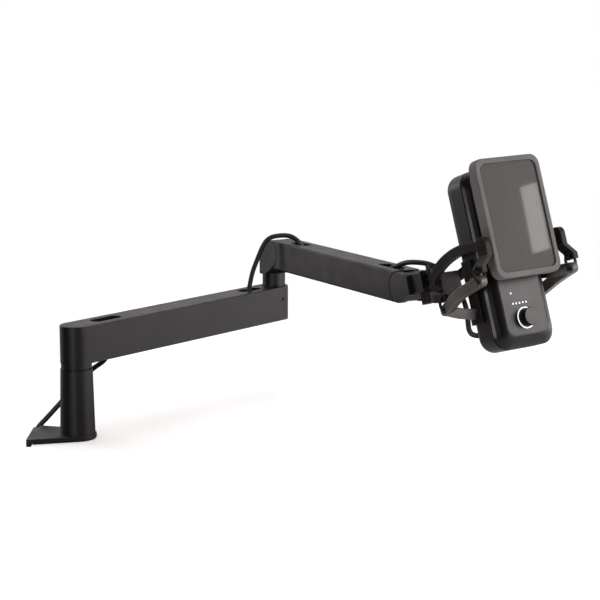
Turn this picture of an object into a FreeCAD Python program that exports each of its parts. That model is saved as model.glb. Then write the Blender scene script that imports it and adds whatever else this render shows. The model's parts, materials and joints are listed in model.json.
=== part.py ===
"""Low-profile desk boom arm with a studio microphone in an elastic suspension.

Millimetres, +Z up. The origin is on the column's axis in the plane of the desk top.
+X runs from the desk's rear edge towards the middle of the desk.
Every piece is one node, written to parts/NODE.step in the pose of the photograph.
"""
import FreeCAD, Part
import math
import os

V = FreeCAD.Vector
os.makedirs("parts", exist_ok=True)

# Pose of the photograph, in degrees
LOWER_ARM_TURN = 51.4
UPPER_ARM_TURN = -60.1
WRIST_TILT = 18.4
MOUNT_ROLL = 3.0
MOUNT_PAN = 4.5

# Fits and gaps
RUNNING_FIT = 0.04
SEAT_GAP = 0.15
TURN_GAP = 0.3
SKIN_GAP = 0.4
CUT_PAST = 1.0

# Desk clamp
PAD_THICK = 1.2
PAD_INSET = 1.0
PLATE_THICK = 4.0
PLATE_WIDTH = 55.0
PLATE_NOSE = 17.4
PLATE_REAR = 39.0
PLATE_EDGE = 0.8
SPINE_THICK = 5.5
SPINE_WIDTH = 48.0
SPINE_STEP = 1.2
THROAT = 76.0
JAW_THICK = 8.0
JAW_LENGTH = 48.0
JAW_WIDTH = 34.0
JAW_CORNER = 8.0
CLAMP_AXIS_X = -12.0
CLAMP_BOSS_R = 10.0
CLAMP_BOSS_DROP = 6.0
CLAMP_SCREW_R = 5.0
CLAMP_SCREW_LENGTH = 95.0
CLAMP_PAD_R = 15.0
CLAMP_PAD_THICK = 4.0
CLAMP_HUB_R = 8.5
CLAMP_HUB = 6.0
CLAMP_RUBBER_THICK = 1.6
CLAMP_OPEN = 34.0
CLAMP_KNOB_R = 12.0
CLAMP_KNOB_HEIGHT = 18.0
CLAMP_KNOB_LOBES = 6
CLAMP_LOBE_R = 4.2

# Column and its spindle
COLUMN_TOP_R = 14.9
COLUMN_FOOT_R = 16.25
COLUMN_HEIGHT = 60.6
COLUMN_ROOF = 6.0
SPINDLE_FLANGE_R = 11.0
SPINDLE_FLANGE = 4.0
SPINDLE_BODY_R = 9.0
SPINDLE_R = 7.0
STUD_BOLT_R = 4.0
STUD_BOLT_LENGTH = 6.5
BOLT_R = 4.0
BOLT_HEAD_R = 7.0
BOLT_HEAD = 1.9
BOLT_LENGTH = 34.0
WASHER_THICK = 1.0
WASHER_R = 13.4
BUSH_WALL = 2.0
BUSH_LENGTH = 9.0
NUT_FLATS = 13.0
NUT_HEIGHT = 5.5
NUT_FLANGE_R = 10.5
NUT_FLANGE = 1.4

# Lower arm
ARM_LENGTH = 286.0
ARM_WIDTH = 29.5
ARM_HEIGHT = 35.0
ARM_WALL = 2.4
ARM_EDGE = 0.9
BOSS_R = 14.2
BOSS_DROP = 4.8
BASE_HUB_HEIGHT = 22.4
COVER_THICK = 2.0
SLOT_WIDTH = 13.0
COLUMN_SLOT = (21.0, 57.0)
ELBOW_SLOT_BACK = (54.0, 24.0)
CABLE_EXIT = (29.0, 52.0)
CABLE_EXIT_WIDTH = 9.0
COVER_SCREW_R = 1.5
COVER_SCREW_HEAD_R = 2.8
COVER_SCREW_HEAD = 1.2
COVER_SCREW_LENGTH = 9.0
COVER_SCREW_X = (95.0, 205.0)
COVER_POST_R = 3.4
COVER_POST_Y = 8.5
TENSION_SCREW_R = 1.5
TENSION_SCREW_BACK = 3.0
TENSION_SCREW_DROP = 13.0
TENSION_SCREW_LENGTH = 4.8
TENSION_SOCKET_R = 0.8

# Elbow
ELBOW_HUB_HEIGHT = 24.0
POST_R = 11.7
POST_GAP = 0.4
POST_RISE = 12.7
THRUST_WASHER = 0.8
KNUCKLE_REAR_R = 14.8
KNUCKLE_FOOT = 5.5
KNUCKLE_BACK_RISE = 12.7
ELBOW_OFFSET = 15.6
ELBOW_RISE = 35.3
RETAINER_WASHER = 1.4
RETAINER_HEAD = 3.2
RETAINER_HEAD_R = 5.5
RETAINER_R = 3.0
RETAINER_DEPTH = 12.0
CHEEK_R = 14.2
CHEEK_GAP = 1.0
FORK_GAP = 16.4
TONGUE_R = 12.2
TONGUE_ROOM = 0.7
TONGUE_NECK = 18.0
NECK_ROOM = 4.2
FRICTION_WASHER = 0.6
FRICTION_WASHER_R = 10.5
PIN_R = 4.0
PIN_HEAD_R = 6.0
PIN_HEAD = 2.6
PIN_SKIN = 3.0

# Upper arm
UPPER_LENGTH = 257.0
UPPER_WIDTH = 28.0
UPPER_HEIGHT = 29.0
UPPER_WALL = 2.2
UPPER_EDGE = 1.6
BLOCK_LENGTH = 14.0
BLOCK_START = 1.7
BLOCK_TOP = 4.0
UPPER_SLOT_WIDTH = 12.0
REAR_SLOT = (42.0, 70.0)
FRONT_SLOT_BACK = (49.0, 14.0)
HATCH = (66.0, 204.0)
HATCH_WIDTH = 17.0
DRUM_RIBS = 11
DRUM_RIB_R = 0.7
DRUM_RIB_STEP = 11.0
DRUM_RIB_START = -25.0

# Wrist and swivel, measured forward from the tilt axis
WRIST_BODY_END = 17.0
WRIST_BODY_HALF = 10.0
STUD_R = 6.0
STUD_END = 29.0
SWIVEL_HALF_Y = 10.0
SWIVEL_HALF_Z = 9.0
SWIVEL_WEB = 2.7
SWIVEL_EDGE = 1.2
SWIVEL_SCREW_R = 2.4
SWIVEL_SCREW_HEAD_R = 4.4
SWIVEL_SCREW_HEAD = 2.2
SWIVEL_SCREW_DEPTH = 9.0
PAN_AXIS = 41.0
PAN_LUG_R = 6.5
PAN_TONGUE_R = 6.0
PAN_TONGUE_HALF = 4.7
PAN_PIN_R = 3.0
PAN_HEAD_R = 5.2
PAN_HEAD = 3.5
KNOB_X = 25.5
KNOB_R = 6.2
KNOB_HEIGHT = 11.0
KNOB_LOBES = 10
KNOB_LOBE_R = 1.1
KNOB_SCREW_R = 2.0

# Shock mount, in the microphone's own axes: x right, y back, z up from its foot
HUB_BACK = 100.0
HUB_UP = 76.5
HUB_HALF_X = 11.0
HUB_RISE = 2.0
HUB_DROP = 22.0
HUB_LENGTH = 15.0
ARCH_TALL = 9.0
ARCH_THICK = 5.0
ARCH_ROOT = [(6.0, 85.0, 71.0), (15.0, 82.0, 74.2), (21.0, 66.0, 80.5), (27.0, 46.0, 85.0)]
ARCH_END = [(-6.4, 22.0, 87.0), (-2.5, 6.0, 87.6), (-1.0, -9.0, 87.0), (0.0, -24.0, 85.0)]
STRUT_TALL = 8.0
STRUT_THICK = 5.0
STRUT_ROOT = [(7.0, 85.0, 61.0), (20.0, 79.0, 59.5), (33.0, 66.0, 57.0)]
STRUT_END = [(-5.0, 50.0, 54.5), (0.0, 31.0, 52.0)]
EAR_GAP = 9.0
SIDE_GAP = 18.0
REAR_GAP = 17.0
EAR_WIDTH = 12.0
EAR_THICK = 5.0
EAR_Y = -24.0
EAR_BEND = (76.5, 68.0)
EAR_FOOT = 62.8
EAR_TOP = 92.0
EAR_HOLE_R = 1.2
EAR_HOLE_DROP = (5.0, 11.0)
FRONT_HOOK_UP = (56.0, 67.0)
FRONT_HOOK_Y = -22.0
REAR_HOOK_UP = (41.0, 52.0)
REAR_HOOK_Y = 31.0
HOOK_HOLE = 4.6
BAND_R = 1.3
BAND_REACH = 5.4
WING_THICK = 6.0
WING_BAR_R = 4.6
WING_BOW = (5.0, 51.0)
WING_BOW_OUT = 3.0
WING_FOOT = (11.0, 32.3)
WING_FOOT_BOW = (20.0, 35.0)
WING_BRIDGE = (7.0, 58.0)
WING_BRIDGE_BOW = (-8.0, 56.5)
CRADLE_WALL = 3.0
CRADLE_FOOT = 24.0
CRADLE_BAND = 14.0
CRADLE_TOP = 78.0
CRADLE_POST = 12.0
CRADLE_FRONT = 4.0

# Microphone
MIC_WIDTH = 66.0
MIC_HEIGHT = 154.0
MIC_FOOT = -2.5
MIC_CORNER_R = 13.5
REAR_DEPTH = 23.5
REAR_ROUND = 9.5
FRONT_DEPTH = 9.0
BEVEL_STEPS = [(1.5, 0.0), (3.6, 1.6), (6.0, 4.2), (7.8, 7.2), (8.7, 9.6), (9.0, 11.0)]
MIC_WALL = 2.2
SEAM_WIDTH = 1.2
SEAM_DEPTH = 1.1
GRILLE_FOOT = 60.0
GRILLE_DROP = 13.0
GRILLE_MARGIN = 14.5
GRILLE_CORNER_R = 5.0
GRILLE_LAP = 1.6
GRILLE_THICK = 1.2
DIAL_UP = 21.5
DIAL_R = 7.8
DIAL_LENGTH = 6.7
DIAL_EDGE = 0.5
DIAL_PRESS = 0.8
DIAL_CLEAR = 0.5
DIAL_CAP = 1.6
RING_R = 9.2
RING_INNER_R = 8.3
RING_DEPTH = 1.2
RING_PROUD = 0.25
LIGHT_R = 0.75
LIGHT_FIRST_X = -10.9
LIGHT_PITCH = 3.65
LIGHT_COUNT = 5
LIGHT_UP = 34.6
MUTE_LIGHT = (-11.0, 43.6)
BOARD_THICK = 1.6
BOARD_BACK = 10.0
BOARD_MARGIN = 9.0
BOARD_FOOT = 11.0
BOARD_DROP = 23.5
BOARD_POST_R = 3.0
BOARD_POST_IN = 5.0
BOARD_POST_FOOT = 32.0
BOARD_POST_DROP = 8.0
BOARD_SCREW_R = 1.2
BOARD_SCREW_HEAD_R = 2.4
BOARD_SCREW_HEAD = 1.4
BOARD_SCREW_DEPTH = 6.0
CAPSULE_R = 12.5
CAPSULE_DEPTH = 9.0
CAPSULE_FRONT = -4.5
CAPSULE_DROP = 51.5
HOLDER_R = 16.0
HOLDER_DEPTH = 5.0
HOLDER_LEG = 5.0
ENCODER_HALF = 6.0
ENCODER_DEPTH = 6.5
SHAFT_R = 3.0
SHAFT_DEPTH = 3.5
PORT_UP = 17.0
SOCKET_HALF_X = 4.7
SOCKET_HALF_Z = 1.9
SOCKET_WALL = 0.5
PLUG_TIP_HALF_X = 4.0
PLUG_TIP_HALF_Z = 1.2
PLUG_TIP = 6.5

# Pop filter
POP_OVERHANG = 2.8
POP_FOOT = 54.8
POP_RISE = 5.5
POP_FRONT = 27.0
POP_STEP = 18.5
POP_NECK = 7.0
POP_RIM = 4.6
POP_CORNER_R = 9.0
POP_EDGE = 1.2
POP_FLANGE = 1.5
POP_OPENING_LAP = 1.0
POP_OPENING_MARGIN = 16.0
MESH_THICK = 0.6
MESH_RECESS = 1.4
MESH_SPACING = 4.4

# Cord, with routes chosen as points in the frame of the part
CORD_R = 2.4
PLUG_LENGTH = 22.3
PLUG_HALF_X = 6.0
PLUG_HALF_Z = 3.4
PLUG_EDGE = 1.5
RELIEF_LENGTH = 12.0
RELIEF_R = 3.2
DROP_ROUTE = [
    (24.955, 31.261, 76.0), (24.405, 31.086, 69.6), (20.3, 32.0, 64.6), (11.8, 33.4, 59.0), (0.5, 35.0, 48.0),
    (-11.5, 36.0, 35.0), (-22.5, 35.6, 22.5), (-32.5, 33.4, 11.5), (-42.0, 30.6, 2.0), (-48.4, 29.6, -10.5),
    (-50.4, 31.0, -27.0), (-49.8, 33.7, -46.0), (-48.7, 37.0, -65.0), (-48.5, 38.9, -82.0),
    (-48.5, 39.4, -99.0), (-48.5, 39.4, -115.2),
]
LOWER_ROUTE = [
    (24.955, 31.261, 76.0), (25.642, 31.48, 84.0), (30.1, 35.5, 92.0), (38.7, 44.6, 96.5), (54.9, 63.7, 94.5),
    (81.6, 96.1, 91.0), (113.7, 137.0, 89.5), (135.2, 165.9, 91.0), (146.3, 181.3, 95.0),
    (152.1, 189.5, 101.5),
    (154.2, 192.5, 111.0), (157.0, 191.6, 125.0), (162.2, 190.1, 138.5), (166.8, 189.0, 150.0),
    (171.3, 187.9, 158.2), (178.275, 186.262, 162.878), (185.5, 184.6, 163.6),
]
UPPER_ROUTE = [
    (185.5, 184.6, 163.6), (194.0, 182.645, 164.45), (202.3, 179.6, 160.4), (206.8, 173.6, 155.4),
    (211.3, 166.3, 150.6), (218.8, 154.5, 147.6), (231.1, 133.9, 146.4), (250.3, 101.0, 146.0),
    (267.9, 69.6, 146.3), (277.4, 52.0, 147.6), (283.1, 41.5, 149.6),
]
WRIST_ROUTE = [
    (283.1, 41.5, 149.6), (287.2, 33.947, 151.039), (292.6, 25.6, 155.4), (299.0, 15.8, 160.4),
    (305.6, 7.0, 163.6), (312.5, -0.5, 164.3),
]
SWIVEL_ROUTE = [
    (312.5, -0.5, 164.3), (317.2, -5.609, 164.777), (323.6, -8.4, 163.7), (330.4, -10.6, 160.6),
    (334.8, -13.9, 156.4), (337.9, -17.9, 152.3), (340.6, -21.6, 149.2),
]
TAIL_ROUTE = [
    (340.6, -21.6, 149.2), (344.38, -26.78, 144.86), (348.9, -34.5, 140.6), (351.9, -43.6, 135.4),
    (353.2, -53.4, 129.2), (353.5, -62.1, 121.8), (353.7, -68.7, 114.6), (356.5, -74.7, 110.9),
    (360.64, -80.5, 111.86),
]
COIL_X = -48.5
COIL_Y = 8.0
COIL_Z = -120.0
COIL_OUTER_R = 31.4
COIL_PITCH = 6.0
COIL_LAYERS = 4
COIL_LAYER_TURNS = 1.375
COIL_CLIMB_TURNS = 0.5
COIL_STEP_TURNS = 0.25
COIL_TAIL = 26.0
TIE_THICK = 1.6
TIE_WIDTH = 6.0
TIE_ROOM = 0.7
FAR_PLUG_LENGTH = 30.0
FAR_PLUG_HALF_X = 4.0
FAR_PLUG_HALF_Y = 8.0
FAR_SHELL_LENGTH = 18.0
FAR_SHELL_HALF_X = 2.25
FAR_SHELL_HALF_Y = 6.0

ARM_R = ARM_WIDTH / 2
ELBOW_SLOT = [ARM_LENGTH - back for back in ELBOW_SLOT_BACK]
FRONT_SLOT = [UPPER_LENGTH - back for back in FRONT_SLOT_BACK]
PLATE_TOP = PAD_THICK + PLATE_THICK
SPINE_BACK = -PLATE_REAR - SPINE_THICK
JAW_TOP = -THROAT
JAW_FOOT = JAW_TOP - JAW_THICK
COLUMN_TOP = PLATE_TOP + COLUMN_HEIGHT
BOSS_FOOT = COLUMN_TOP + WASHER_THICK
ARM_FOOT = BOSS_FOOT + BOSS_DROP
ARM_TOP = ARM_FOOT + ARM_HEIGHT
ARM_CEILING = ARM_TOP - ARM_WALL
BASE_HUB_TOP = ARM_FOOT + BASE_HUB_HEIGHT
HOUSING_R = ARM_R - ARM_WALL - SEAT_GAP
BUSH_R = SPINDLE_R + BUSH_WALL
ELBOW_HUB_FOOT = ARM_CEILING - ELBOW_HUB_HEIGHT
POST_FOOT = ARM_CEILING + THRUST_WASHER
HEAD_FOOT = ARM_TOP + POST_RISE
ELBOW_Z = ARM_TOP + ELBOW_RISE
CHEEK_Y = UPPER_WIDTH / 2
FORK_Y = FORK_GAP / 2
TONGUE_Y = FORK_Y - FRICTION_WASHER - SEAT_GAP
SWIVEL_START = WRIST_BODY_END + TURN_GAP
STUD_ROOM = STUD_END + TURN_GAP
HEAD_SEAT = STUD_ROOM + SWIVEL_WEB
FORK_ROOT = HEAD_SEAT + SWIVEL_SCREW_HEAD + TURN_GAP
MIC_HALF = MIC_WIDTH / 2
MIC_TOP = MIC_FOOT + MIC_HEIGHT
EAR_X = MIC_HALF + EAR_GAP
SIDE_X = MIC_HALF + SIDE_GAP
REAR_X = MIC_HALF + REAR_GAP
GRILLE_HALF = MIC_HALF - GRILLE_MARGIN
GRILLE_TOP = MIC_TOP - GRILLE_DROP
CAPSULE_UP = MIC_TOP - CAPSULE_DROP
BOARD_HALF = MIC_HALF - BOARD_MARGIN
BOARD_TOP = MIC_TOP - BOARD_DROP
BOARD_POST_X = BOARD_HALF - BOARD_POST_IN
BOARD_POST_UP = (BOARD_POST_FOOT, BOARD_TOP - BOARD_POST_DROP)
POP_HALF = MIC_HALF + POP_OVERHANG
POP_TOP = MIC_TOP + POP_RISE
POP_OPENING_HALF = GRILLE_HALF + POP_OPENING_LAP
POP_BACK = FRONT_DEPTH + SEAT_GAP
CORD_D = 2 * CORD_R


def frame(origin, axis=(0, 0, 1), angle=0.0):
    """Placement at a point, turned about one axis."""
    return FreeCAD.Placement(V(*origin), FreeCAD.Rotation(V(*axis), angle))


ELBOW_X = ARM_LENGTH * math.cos(math.radians(LOWER_ARM_TURN))
ELBOW_Y = ARM_LENGTH * math.sin(math.radians(LOWER_ARM_TURN))
DESK = frame((0, 0, 0))
LOWER = frame((0, 0, 0), (0, 0, 1), LOWER_ARM_TURN)
UPPER = frame((ELBOW_X, ELBOW_Y, 0), (0, 0, 1), UPPER_ARM_TURN)
WRIST = UPPER * frame((UPPER_LENGTH, 0, ELBOW_Z), (0, 1, 0), -WRIST_TILT)
SWIVEL = WRIST * frame((0, 0, 0), (1, 0, 0), MOUNT_ROLL)
PAN = SWIVEL * frame((PAN_AXIS, 0, 0), (0, 0, 1), MOUNT_PAN + 90)
MIC = PAN * frame((0, -HUB_BACK, -HUB_UP))


def write(name, placement, *solids):
    """Place a node's solids in the frame of the part and write them."""
    placed = []
    for solid in solids:
        copy = solid.copy()
        copy.Placement = placement * copy.Placement
        placed.append(copy)
    shape = placed[0] if len(placed) == 1 else Part.makeCompound(placed)
    if not shape.isValid() or len(shape.Solids) != len(solids):
        print(f"{name}: valid {shape.isValid()}, solids {len(shape.Solids)} of {len(solids)}")
    shape.exportStep(f"parts/{name}.step")


def box(x0, x1, y0, y1, z0, z1):
    """Block between two corners."""
    return Part.makeBox(x1 - x0, y1 - y0, z1 - z0, V(x0, y0, z0))


def rod(radius, start, end):
    """Cylinder between two points."""
    a, b = V(*start), V(*end)
    return Part.makeCylinder(radius, (b - a).Length, a, b - a)


def cyl(radius, z0, z1, x=0.0, y=0.0):
    """Upright cylinder."""
    return rod(radius, (x, y, z0), (x, y, z1))


def ring(outer, inner, z0, z1, x=0.0, y=0.0):
    """Upright tube."""
    return cyl(outer, z0, z1, x, y).cut(cyl(inner, z0 - CUT_PAST, z1 + CUT_PAST, x, y))


def fuse(*solids):
    """One solid from touching solids."""
    return solids[0].multiFuse(solids[1:]).removeSplitter()


def cut(solid, *tools):
    """A solid less its cuts."""
    return solid.cut(list(tools)).removeSplitter()


def stadium(x0, x1, radius, z0, z1):
    """Upright slot shape with round ends centred at x0 and x1."""
    return fuse(box(x0, x1, -radius, radius, z0, z1), cyl(radius, z0, z1, x0), cyl(radius, z0, z1, x1))


def slot(span, width, z0, z1):
    """Upright slot that fills a span from end to end."""
    return stadium(span[0] + width / 2, span[1] - width / 2, width / 2, z0, z1)


def prism(points, vector):
    """Polygon pushed along a vector."""
    wire = Part.makePolygon([V(*p) for p in points] + [V(*points[0])])
    return Part.Face(wire).extrude(V(*vector))


def hexagon(flats, z0, z1):
    """Upright hexagonal bar."""
    radius = flats / math.sqrt(3)
    corners = [(radius * math.cos(k * math.pi / 3), radius * math.sin(k * math.pi / 3), z0)
               for k in range(6)]
    return prism(corners, (0, 0, z1 - z0))


def lobed(radius, lobe_r, lobes, z0, z1):
    """Upright grip with round lobes on its rim."""
    turns = [2 * math.pi * k / lobes for k in range(lobes)]
    rims = [cyl(lobe_r, z0, z1, radius * math.cos(t), radius * math.sin(t)) for t in turns]
    return fuse(cyl(radius, z0, z1), *rims)


def rounded_wire(half_x, z0, z1, radius, y):
    """Rounded rectangle standing at one depth."""
    def corner(cx, cz, start):
        turns = [math.radians(start + step) for step in (0, 45, 90)]
        return Part.Arc(*[V(cx + radius * math.cos(t), y, cz + radius * math.sin(t))
                          for t in turns]).toShape()
    right, left = half_x - radius, radius - half_x
    low, high = z0 + radius, z1 - radius
    arcs = [corner(right, low, -90), corner(right, high, 0), corner(left, high, 90),
            corner(left, low, 180)]
    edges = []
    for arc, following in zip(arcs, arcs[1:] + arcs[:1]):
        edges.append(arc)
        edges.append(Part.makeLine(arc.valueAt(arc.LastParameter),
                                   following.valueAt(following.FirstParameter)))
    return Part.Wire(edges)


def rounded_block(half_x, z0, z1, radius, y0, y1):
    """Rounded rectangle between two depths."""
    return Part.Face(rounded_wire(half_x, z0, z1, radius, y0)).extrude(V(0, y1 - y0, 0))


def rounded_at(solid, radius, test):
    """Round the edges whose end points all pass a test."""
    return solid.makeFillet(radius, [e for e in solid.Edges if all(test(v.Point) for v in e.Vertexes)])


def rounded_along(solid, radius, axis, test=lambda p: True):
    """Round the straight edges that run along an axis and pass a test."""
    edges = [e for e in solid.Edges if abs(e.tangentAt(e.FirstParameter).dot(V(*axis))) > 0.99]
    return solid.makeFillet(radius, [e for e in edges if all(test(v.Point) for v in e.Vertexes)])


def both_sides(solid):
    """A solid and its mirror image across x = 0."""
    return [solid, solid.mirror(V(0, 0, 0), V(1, 0, 0))]


def rounded_path(points):
    """Straight runs joined by tangent arcs as large as the runs allow, with the arcs' radii."""
    pts = [V(*p) for p in points]
    edges, radii = [], []
    here = pts[0]
    for before, corner, after in zip(pts, pts[1:], pts[2:]):
        into = (corner - before).normalize()
        out = (after - corner).normalize()
        half_turn = into.getAngle(out) / 2
        reach = 0.45 * min(corner.distanceToPoint(before), corner.distanceToPoint(after))
        radius = reach / math.tan(half_turn)
        inward = (out - into).normalize()
        middle = corner + inward * (radius / math.cos(half_turn) - radius)
        start, end = corner - into * reach, corner + out * reach
        edges.append(Part.makeLine(here, start))
        edges.append(Part.Arc(start, middle, end).toShape())
        radii.append(radius)
        here = end
    edges.append(Part.makeLine(here, pts[-1]))
    return Part.Wire(edges), radii


def round_tube(wire, radius):
    """Round section swept along a wire."""
    first = wire.OrderedEdges[0]
    start, heading = first.valueAt(first.FirstParameter), first.tangentAt(first.FirstParameter)
    section = Part.Wire(Part.makeCircle(radius, start, heading))
    return wire.makePipeShell([section], True, False)


def cord(name, points):
    """Cord stretch along a route, with its radii and its volume against section times length."""
    wire, radii = rounded_path(points)
    tube = round_tube(wire, CORD_R)
    share = tube.Volume / (math.pi * CORD_R ** 2 * wire.Length)
    print(f"{name}: length {wire.Length:.1f}, radii {[round(r, 1) for r in radii]}, volume share {share:.4f}")
    return tube


def flat_bar(points, tall, thick):
    """Flat bar swept along a route, held upright."""
    wire, _ = rounded_path(points)
    start = V(*points[0])
    along = (V(*points[1]) - start).normalize()
    side = along.cross(V(0, 0, 1)).normalize() * (thick / 2)
    over = side.cross(along).normalize() * (tall / 2)
    corners = [start + side + over, start - side + over, start - side - over, start + side - over]
    sweep = Part.BRepOffsetAPI.MakePipeShell(wire)
    sweep.setBiNormalMode(V(0, 0, 1))
    sweep.add(Part.makePolygon(corners + corners[:1]))
    sweep.build()
    sweep.makeSolid()
    return sweep.shape()


def control_arc(start, corner, end):
    """Arc that leaves its start and meets its end along two equal legs."""
    middle = (start + end) * 0.5
    half_chord = start.distanceToPoint(end) / 2
    leg = corner.distanceToPoint(start)
    rise = corner.distanceToPoint(middle)
    sagitta = half_chord * (leg - half_chord) / rise
    return Part.Arc(start, middle + (corner - middle).normalize() * sagitta, end).toShape()


def biarc(p0, t0, p1, t1):
    """Two tangent arcs from one point and heading to another."""
    span, headings = p1 - p0, t0 + t1
    a = headings.dot(headings) - 4
    b = -2 * span.dot(headings)
    c = span.dot(span)
    reach = (-b - math.sqrt(b * b - 4 * a * c)) / (2 * a)
    q0, q1 = p0 + t0 * reach, p1 - t1 * reach
    joint = (q0 + q1) * 0.5
    return [control_arc(p0, q0, joint), control_arc(joint, q1, p1)]


def desk_outline(inset, z0, z1):
    """Top plate's outline: a straight rear edge that narrows to a round nose about the column."""
    radius = PLATE_NOSE - inset
    corner = V(-PLATE_REAR + inset, PLATE_WIDTH / 2 - inset, 0)
    turn = math.atan2(corner.y, corner.x) - math.acos(radius / corner.Length)
    x, y = radius * math.cos(turn), radius * math.sin(turn)
    sides = [(corner.x, corner.y, z0), (x, y, z0), (x, -y, z0), (corner.x, -corner.y, z0)]
    return fuse(prism(sides, (0, 0, z1 - z0)), cyl(radius, z0, z1))


def make_clamp():
    """Top plate, spine and lower jaw in one casting, with its screw, pads and knob."""
    plate = desk_outline(0, PAD_THICK, PLATE_TOP)
    plate = rounded_at(plate, PLATE_EDGE, lambda p: abs(p.z - PLATE_TOP) < 1e-6 and p.x > -PLATE_REAR + 1)
    spine = box(SPINE_BACK, -PLATE_REAR, -SPINE_WIDTH / 2, SPINE_WIDTH / 2, JAW_FOOT,
                PLATE_TOP - SPINE_STEP)
    jaw = box(SPINE_BACK, SPINE_BACK + JAW_LENGTH, -JAW_WIDTH / 2, JAW_WIDTH / 2, JAW_FOOT, JAW_TOP)
    nose = SPINE_BACK + JAW_LENGTH
    jaw = rounded_along(jaw, JAW_CORNER, (0, 0, 1), lambda p: abs(p.x - nose) < 1e-6)
    boss_foot = JAW_FOOT - CLAMP_BOSS_DROP
    boss = cyl(CLAMP_BOSS_R, boss_foot, JAW_TOP, CLAMP_AXIS_X)
    thread = cyl(CLAMP_SCREW_R + RUNNING_FIT, boss_foot - CUT_PAST, JAW_TOP + CUT_PAST, CLAMP_AXIS_X)
    seat = cyl(BOLT_HEAD_R + TURN_GAP, 0, PAD_THICK + BOLT_HEAD)
    bolt_way = cyl(BOLT_R + TURN_GAP, 0, PLATE_TOP + CUT_PAST)
    write("clamp_frame", DESK, cut(fuse(plate, spine, jaw, boss), thread, seat, bolt_way))
    write("desk_pad", DESK, desk_outline(PAD_INSET, 0, PAD_THICK))
    make_clamp_screw()


def make_clamp_screw():
    """Pressure pad with its rubber, and the screw and knob that turn in it."""
    axis = frame((CLAMP_AXIS_X, 0, -CLAMP_OPEN))
    pad_top = -CLAMP_RUBBER_THICK
    pad_foot = pad_top - CLAMP_PAD_THICK
    hub_foot = pad_foot - CLAMP_HUB
    tip = pad_foot
    screw_foot = tip - CLAMP_SCREW_LENGTH
    socket = cyl(CLAMP_SCREW_R + RUNNING_FIT, hub_foot - CUT_PAST, tip + SEAT_GAP)
    pad = fuse(cyl(CLAMP_PAD_R, pad_foot, pad_top), cyl(CLAMP_HUB_R, hub_foot, pad_foot))
    write("clamp_pad", axis, cut(pad, socket))
    write("clamp_pad_rubber", axis, cyl(CLAMP_PAD_R - SKIN_GAP, pad_top, 0))
    write("clamp_screw", axis, cyl(CLAMP_SCREW_R, screw_foot, tip))
    knob_foot = screw_foot - CLAMP_BOSS_DROP
    grip = lobed(CLAMP_KNOB_R, CLAMP_LOBE_R, CLAMP_KNOB_LOBES, knob_foot, knob_foot + CLAMP_KNOB_HEIGHT)
    bore = cyl(CLAMP_SCREW_R + RUNNING_FIT, screw_foot, knob_foot + CLAMP_KNOB_HEIGHT + CUT_PAST)
    write("clamp_knob", axis, cut(grip, bore))


def make_column():
    """Tapered column over a fixed spindle, bolted from below, with its washer and nut."""
    shaft_top = COLUMN_TOP - COLUMN_ROOF
    flange_top = PLATE_TOP + SPINDLE_FLANGE
    cone = Part.makeCone(COLUMN_FOOT_R, COLUMN_TOP_R, COLUMN_HEIGHT, V(0, 0, PLATE_TOP))
    column = cut(
        cone,
        cyl(SPINDLE_FLANGE_R + SEAT_GAP, PLATE_TOP - CUT_PAST, flange_top + SEAT_GAP),
        cyl(SPINDLE_BODY_R + SEAT_GAP, PLATE_TOP, shaft_top),
        cyl(SPINDLE_R + SEAT_GAP, PLATE_TOP, COLUMN_TOP + CUT_PAST),
    )
    write("column", DESK, column)
    spindle = fuse(
        cyl(SPINDLE_FLANGE_R, PLATE_TOP, flange_top),
        cyl(SPINDLE_BODY_R, PLATE_TOP, shaft_top),
        cyl(SPINDLE_R, PLATE_TOP, BASE_HUB_TOP),
        cyl(STUD_BOLT_R, BASE_HUB_TOP, BASE_HUB_TOP + STUD_BOLT_LENGTH),
    )
    bolt_top = PAD_THICK + BOLT_HEAD + BOLT_LENGTH
    tapped = cyl(BOLT_R + RUNNING_FIT, 0, bolt_top + CUT_PAST)
    write("column_spindle", DESK, cut(spindle, tapped))
    head = cyl(BOLT_HEAD_R, PAD_THICK, PAD_THICK + BOLT_HEAD)
    hexagon_key = hexagon(BOLT_R, 0, PAD_THICK + BOLT_HEAD / 2)
    write("base_bolt", DESK, cut(fuse(head, cyl(BOLT_R, PAD_THICK, bolt_top)), hexagon_key))
    write("base_washer", DESK, ring(WASHER_R, SPINDLE_R + SEAT_GAP, COLUMN_TOP, BOSS_FOOT))
    nut_foot = BASE_HUB_TOP + SEAT_GAP
    nut = fuse(cyl(NUT_FLANGE_R, nut_foot, nut_foot + NUT_FLANGE),
               hexagon(NUT_FLATS, nut_foot, nut_foot + NUT_HEIGHT))
    thread = cyl(STUD_BOLT_R + RUNNING_FIT, nut_foot - CUT_PAST, nut_foot + NUT_HEIGHT + CUT_PAST)
    write("base_nut", DESK, cut(nut, thread))


def bush(foot, x):
    """Plain bearing sleeve."""
    return ring(BUSH_R, SPINDLE_R + RUNNING_FIT, foot, foot + BUSH_LENGTH, x)


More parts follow.
